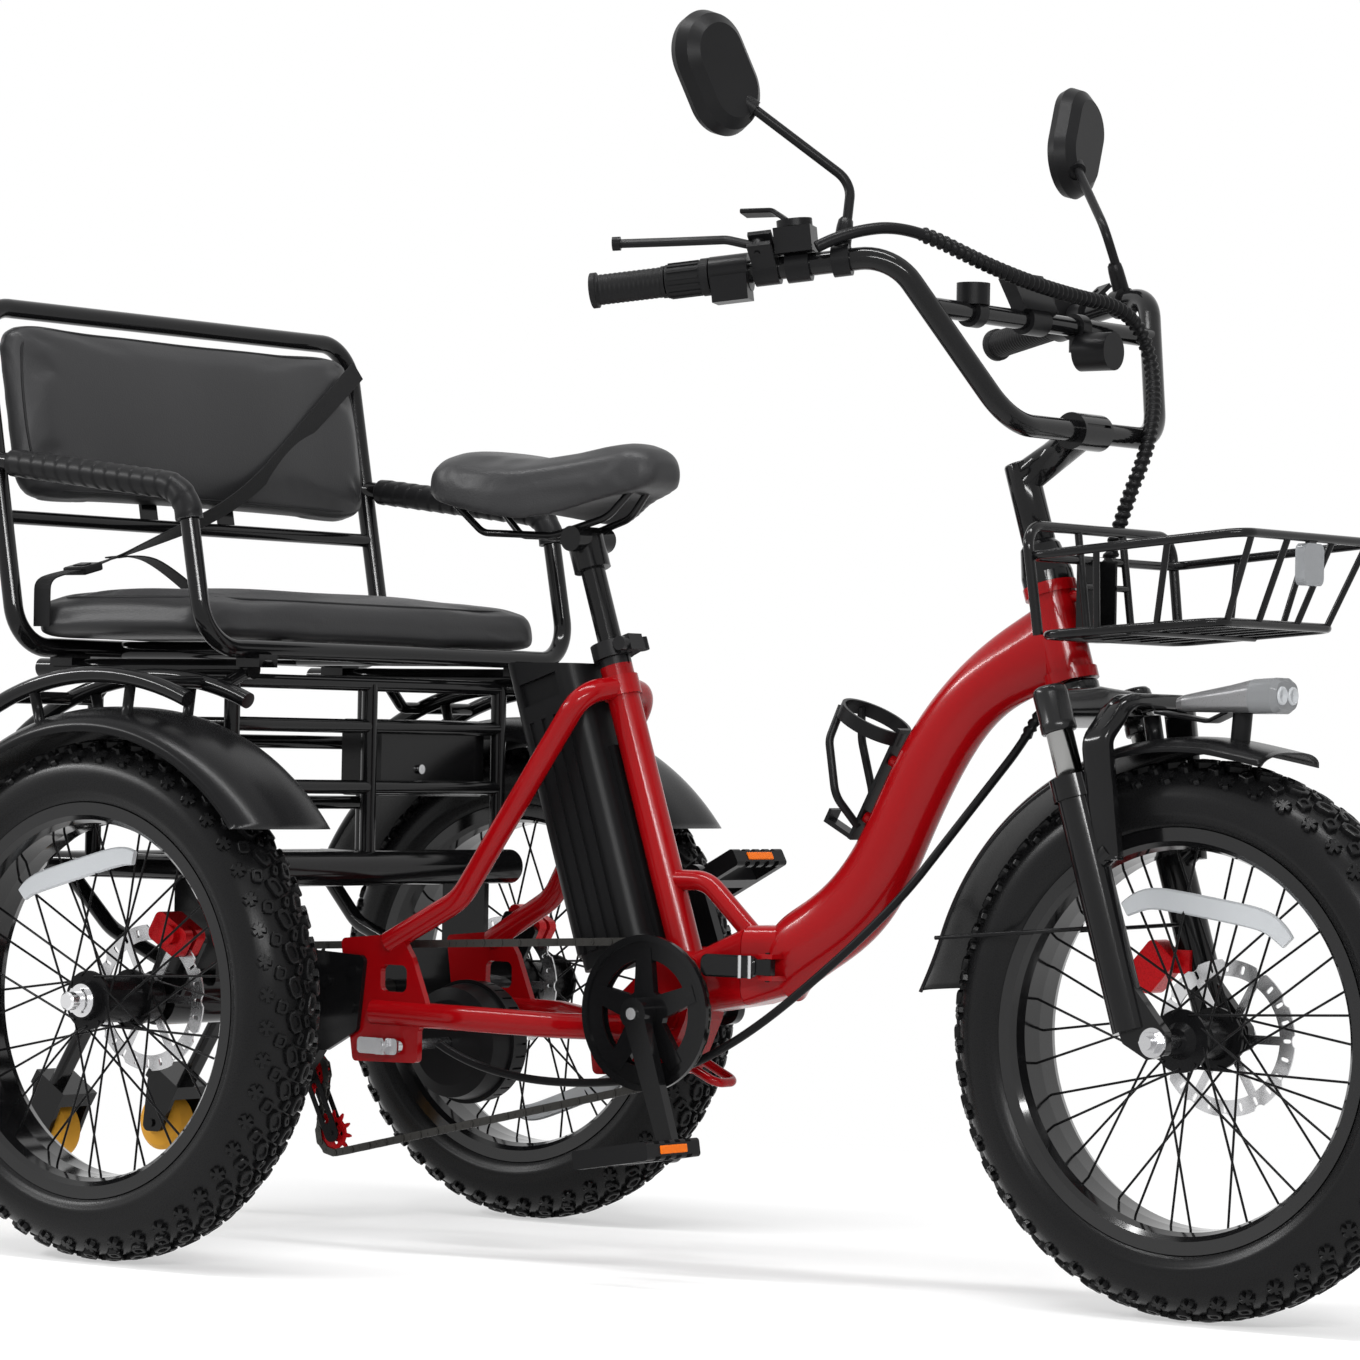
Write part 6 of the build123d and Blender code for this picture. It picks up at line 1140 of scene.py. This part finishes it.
brace_points = [by_fork(40, -80, -200), by_fork(62, -82, -80), by_fork(83, -56, -48)]
brace_points += [place * OTHER_SIDE for place in brace_points[::-1]]
brace_line = even_steps(bent_tube_line(brace_points, BRACE_BEND), BRACE_STEP)[0]
brace = joined("fork_brace", [swept(brace_line, STEER_AHEAD, BRACE_WIDE, BRACE_THICK)], BLACK_PAINT)
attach(brace, "fork_lowers")


# %% Fenders
def dome(centre, angles, half, edge, rise, thick, out=0.0, spread=0.0, level=False):
    """A thin dome round an axle along Y, over the top and back along the inside; it may end level."""
    place = np.linspace(-1, 1, 33)
    bow = (1 - np.abs(place) ** 3) ** 0.6
    side = np.concatenate([half * place, (half - thick) * place[::-1]]) * (1 + spread + 0 * angles)[:, None]
    radius = np.concatenate([edge + rise * bow, edge + (rise - thick) * bow]) + (out + 0 * angles)[:, None]
    turn = np.radians(angles)[:, None]
    if level:
        cut = np.arcsin(edge * np.sin(turn[-1]) / radius)
        turn = turn[0] + (cut - turn[0]) * np.linspace(0, 1, len(angles))[:, None]
    points = np.stack([radius * np.cos(turn), side, radius * np.sin(turn)], -1) / 1000 + centre
    return points, tube_faces(len(angles), 2 * len(place))


def about(centre, angle, radius, left=0.0):
    """A point round an axle along Y: degrees up from straight ahead, then mm out and mm left."""
    turn = np.radians(angle)
    return centre + np.array([radius * np.cos(turn), left, radius * np.sin(turn)]) / 1000


REAR_FENDER = {"half": 75, "edge": 290, "rise": 28, "thick": 2.8}
FRONT_FENDER = {"half": 58, "edge": 289, "rise": 16, "thick": 2.5}
POST_FROM, POST_TO, POST_RADIUS, POST_LEFT, POST_ANGLES = 309, 344, 6, 48, (82, 106)
rear_parts = []
for side in (-1, 1):
    centre = spot(0, side * 350, 283)
    rear_parts.append(dome(centre, np.linspace(158, 41, 80), level=True, **REAR_FENDER))
    for left in (-POST_LEFT, POST_LEFT):
        for angle in POST_ANGLES:
            low, high = about(centre, angle, POST_FROM, left), about(centre, angle, POST_TO, left)
            rear_parts.append(rod(low, high, POST_RADIUS))
rear_fenders = joined("rear_fender_domes", rear_parts, FENDER_PLASTIC)
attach(rear_fenders, "rear_frame")
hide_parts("rear_fenders")

FRONT_AXLE = WHEELS["front"][0]
FRONT_POST, STAY_RADIUS = 100.7, 2.2
angles = np.linspace(173, 70, 80)
tail_share, nose_share = np.clip((angles - 161) / 12, 0, 1), np.clip((80 - angles) / 10, 0, 1)
flare = 9 * tail_share ** 2 + 4 * nose_share ** 2
front_parts = [dome(FRONT_AXLE, angles, out=flare, spread=0.08 * tail_share ** 2, **FRONT_FENDER)]
front_parts.append(rod(about(FRONT_AXLE, FRONT_POST, 302), about(FRONT_AXLE, FRONT_POST, 330), 9))
for side in (-1, 1):
    front_parts.append(rod(spot(866, side * 55.5, 376), spot(1092, side * 58, 396), STAY_RADIUS, 12))
front_fender = joined("front_fender_dome", front_parts, FENDER_PLASTIC)
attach(front_fender, "fork_lowers")
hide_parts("front_fender")

# %% Stem tubes
QUILL = [(150, 15), (152, 17.4), (234, 17.4), (236, 16.6), (236, 13.4), (230, 13.0), (230, 1)]
STEM_KNEE, BAR_MIDDLE, STEM_RADIUS = spot(930, 0, 850), spot(996, 0, 894.5), 16.4
stem_parts = [revolved(by_fork(0, 0, 0), STEER_UP, QUILL), rod(STEM_KNEE, BAR_MIDDLE, STEM_RADIUS, LEG_ROUND)]
stem_tubes = joined("stem_tubes", stem_parts, BLACK_PAINT)
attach(stem_tubes, "steering")

# %% Rubber sleeves at the mirror stalks
sleeve_base, sleeve_end = on_bar(-1, 254, 0, 10), spot(871, -236, 1137)
SLEEVE = [(0, 7.0), (1, 8.6), (4, 9.0), (26, 8.4), (33, 7.6), (36, 5.4)]
sleeves = []
for way in (np.ones(3), OTHER_SIDE):
    base, end = sleeve_base * way, sleeve_end * way
    sleeves.append(revolved(base, unit(end - base), SLEEVE))
sleeve = joined("mirror_stalk_sleeves", sleeves, BLACK_PLASTIC)
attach(sleeve, "steering")
print("castings and fenders done")


# %% [markdown]
# ## Reflectors and glass
#
# A pale reflector strip is clipped into the spokes of each wheel. It runs straight, as a chord, until it
# comes to its reach from the axle, and its ends then follow that circle. A soft minimum of the two distances
# rounds the bend between them.

# %% Wheel reflectors
STRIP_WIDE, STRIP_THICK, STRIP_STEPS, BEND_SOFTNESS = 0.0225, 0.006, 60, 4


def wheel_reflector(wheel, middle_angle, half_angle, chord, reach, offset):
    """A strip across the spokes: straight at the chord distance, its ends bent in at the reach."""
    centre, disc_at, body = WHEELS[wheel]
    swing = np.linspace(-1, 1, STRIP_STEPS)
    bent = np.radians(half_angle) * swing
    straight, arc = np.exp(-chord / np.cos(bent) / BEND_SOFTNESS), np.exp(-reach / BEND_SOFTNESS)
    radius = -np.log(straight + arc) * BEND_SOFTNESS
    angle = bent + np.radians(middle_angle)
    out = np.stack([np.cos(angle), 0 * angle, np.sin(angle)], 1)
    path = centre + out * radius[:, None] / 1000 + LEFT * offset / 1000
    wide = np.cross(unit(np.gradient(path, axis=0)), LEFT)[:, None]
    outline = flat_section(0.42, 0.2)[None]
    width = (STRIP_WIDE * (1 - 0.3 * np.abs(swing) ** 6))[:, None, None]
    points = path[:, None] + outline[..., :1] * width * wide + outline[..., 1:] * STRIP_THICK * LEFT
    faces = tube_faces(STRIP_STEPS, SECTION_SIDES)
    piece = make_object(wheel + "_reflector", points, faces, REFLECTOR_WHITE, False)
    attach(piece, body)


wheel_reflector("front", 82.0, 39.5, 135.0, 151.0, -16.0)
wheel_reflector("rear_right", 105.0, 32.0, 145.0, 162.0, -16.0)
wheel_reflector("rear_left", 290.0, 32.0, 145.0, 162.0, 16.0)


# %% Pedal reflectors
CRANK_ANGLE, CRANK_LONG, PEDAL_OUT, PEDAL_HALF = np.radians(19.0), 152, 143, 0.0495
crank_ahead, crank_down = CRANK_LONG * np.sin(CRANK_ANGLE), CRANK_LONG * np.cos(CRANK_ANGLE)
PEDAL_SPOTS = {
    "pedal_right": (spot(500 + crank_ahead, -PEDAL_OUT, 282 - crank_down), -9.5),
    "pedal_left": (spot(500 - crank_ahead, PEDAL_OUT, 282 + crank_down), -28.0),
}
for body, (middle, tilt) in PEDAL_SPOTS.items():
    turn = np.radians(tilt)
    ways = [np.array([np.cos(turn), 0, -np.sin(turn)]), LEFT, np.array([np.sin(turn), 0, np.cos(turn)])]
    for end, word in ((1, "front"), (-1, "rear")):
        place = middle + ways[0] * end * PEDAL_HALF
        block(f"{body}_{word}_reflector", place, ways, (4.0, 46, 9), 1.2, REFLECTOR_ORANGE, body)

# %% Mirror glass
MIRROR_LONG = unit(np.array([-18.0, -60.0, 112.0]))
MIRROR_FACE = np.array([-1.0, 0.1, 0])
MIRROR_FACE = unit(MIRROR_FACE - MIRROR_LONG * np.dot(MIRROR_FACE, MIRROR_LONG))
MIRROR_WIDE = np.cross(MIRROR_FACE, MIRROR_LONG)
GLASS_AT, GLASS_HALF, GLASS_STRAIGHT, GLASS_SIDES = spot(769, -331, 1243), 36.0, 20.0, 64
GLASS_LAYERS = (7.2, 8.6)
for body, side in (("mirror_right", -1), ("mirror_left", 1)):
    turn = np.linspace(0, 2 * np.pi, GLASS_SIDES, endpoint=False)[:, None]
    along = GLASS_STRAIGHT * np.sign(np.cos(turn)) + GLASS_HALF * np.cos(turn)
    rim = MIRROR_LONG * along + MIRROR_WIDE * GLASS_HALF * np.sin(turn)
    layers = [GLASS_AT + (rim + MIRROR_FACE * out) / 1000 for out in GLASS_LAYERS]
    points = np.concatenate(layers) * np.array([1, -side, 1])
    faces = grid_faces(2, GLASS_SIDES, wrap_columns=True).tolist()
    faces += [list(range(GLASS_SIDES)), list(range(GLASS_SIDES, 2 * GLASS_SIDES))]
    glass = make_object(body + "_glass", points, faces, MIRROR_GLASS, False)
    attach(glass, body)

# %% Lamp cells
CELL = np.array([(0.0, 9.5), (1.6, 9.0), (2.2, 7.0), (1.0, 6.6), (0.6, 0.2)])
CELL_SIDES, CELL_LEFT = 24, 10.4
for word, side in (("right", -1), ("left", 1)):
    turn = np.linspace(0, 2 * np.pi, CELL_SIDES, endpoint=False)
    ahead, radius = CELL[:, :1], CELL[:, 1:]
    points = np.stack([ahead + 0 * turn, radius * np.cos(turn), radius * np.sin(turn)], -1) / 1000
    faces = grid_faces(len(CELL), CELL_SIDES, wrap_columns=True).tolist()
    faces.append(list(range((len(CELL) - 1) * CELL_SIDES, len(CELL) * CELL_SIDES)))
    cell = make_object("lamp_cell_" + word, points + spot(1246.1, side * CELL_LEFT, 629.5), faces,
                       REFLECTOR_WHITE)
    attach(cell, "fork_lowers")
print("reflectors and glass done")


# %% [markdown]
# ## Floor, light and background
#
# The photograph has a white ground and soft light from all round. The world is white for the eye and for
# mirror-like reflections and dimmer as a light, so blacks stay deep. The floor shows the soft shadows.

# %% World
LIGHT_LEVEL = 0.56


def seen_directly(tree):
    """One for what the camera sees straight on, in a reflection or through glass."""
    ray = tree.nodes.new("ShaderNodeLightPath")
    seen = calculate(tree, "MAXIMUM", ray.outputs["Is Camera Ray"], ray.outputs["Is Glossy Ray"])
    return calculate(tree, "MAXIMUM", seen, ray.outputs["Is Transmission Ray"])


world = bpy.data.worlds.new("studio")
bpy.context.scene.world = world
world.use_nodes = True
sky = world.node_tree
background = sky.nodes["Background"]
background.inputs["Color"].default_value = (1, 1, 1, 1)
strength = calculate(sky, "MULTIPLY_ADD", seen_directly(sky), 1.0 - LIGHT_LEVEL, LIGHT_LEVEL)
link(sky, strength, background.inputs["Strength"])


# %% Lamps
LAMP_AIM, LAMP_SLIMNESS = (0, 0, 0.5), 12


def soft_lamp(name, place, size, power):
    """A long soft lamp pointed at the machine: its length in metres, then its power in watts."""
    data = bpy.data.lights.new(name, "AREA")
    data.shape = "RECTANGLE"
    data.size = size
    data.size_y = size / LAMP_SLIMNESS
    data.energy = power
    lamp = bpy.data.objects.new(name, data)
    way = unit(np.asarray(LAMP_AIM) - np.asarray(place))
    side = unit(np.cross(way, [0.01, 0.02, 1.0]))
    lamp.matrix_world = pose_matrix([side, np.cross(side, way), -way], place)
    bpy.context.scene.collection.objects.link(lamp)


soft_lamp("top_lamp", (0.2, -0.6, 3.4), 3.2, 100)
soft_lamp("front_lamp", (2.6, -2.6, 2.0), 2.4, 85)
soft_lamp("rear_lamp", (-2.6, -2.0, 2.2), 2.2, 55)
print("lamps", len(bpy.data.lights))

# %% Floor
FLOOR_HALF, FLOOR_GLOW, FADE_FROM, FADE_OVER = 14.0, 0.5, 1.0, 0.8
floor_material = bpy.data.materials.new("pale_floor")
floor_material.use_nodes = True
floor_tree = floor_material.node_tree
floor_shader = floor_tree.nodes["Principled BSDF"]
floor_shader.inputs["Base Color"].default_value = (0.92, 0.92, 0.92, 1)
floor_shader.inputs["Roughness"].default_value = 0.9
floor_shader.inputs["Specular IOR Level"].default_value = 0.0
glow = floor_tree.nodes.new("ShaderNodeEmission")
mixer = floor_tree.nodes.new("ShaderNodeMixShader")
floor_seen = seen_directly(floor_tree)
floor_place = floor_tree.nodes.new("ShaderNodeTexCoord").outputs["Object"]
away = floor_tree.nodes.new("ShaderNodeVectorMath")
away.operation = "LENGTH"
link(floor_tree, floor_place, away.inputs[0])
fade = calculate(floor_tree, "MULTIPLY_ADD", away.outputs["Value"], 1 / FADE_OVER, -FADE_FROM / FADE_OVER)
fade = calculate(floor_tree, "MINIMUM", calculate(floor_tree, "MAXIMUM", fade, 0.0), 1.0)
share_lit = calculate(floor_tree, "MULTIPLY_ADD", fade, 1.0 - FLOOR_GLOW, FLOOR_GLOW)
link(floor_tree, calculate(floor_tree, "MULTIPLY", floor_seen, share_lit), mixer.inputs[0])
link(floor_tree, floor_shader.outputs[0], mixer.inputs[1])
link(floor_tree, glow.outputs[0], mixer.inputs[2])
link(floor_tree, mixer.outputs[0], floor_tree.nodes["Material Output"].inputs["Surface"])
floor_points = np.array([(-1, -1, 0), (1, -1, 0), (1, 1, 0), (-1, 1, 0)], float) * FLOOR_HALF
floor = make_object("floor", floor_points, [[0, 1, 2, 3]], floor_material)
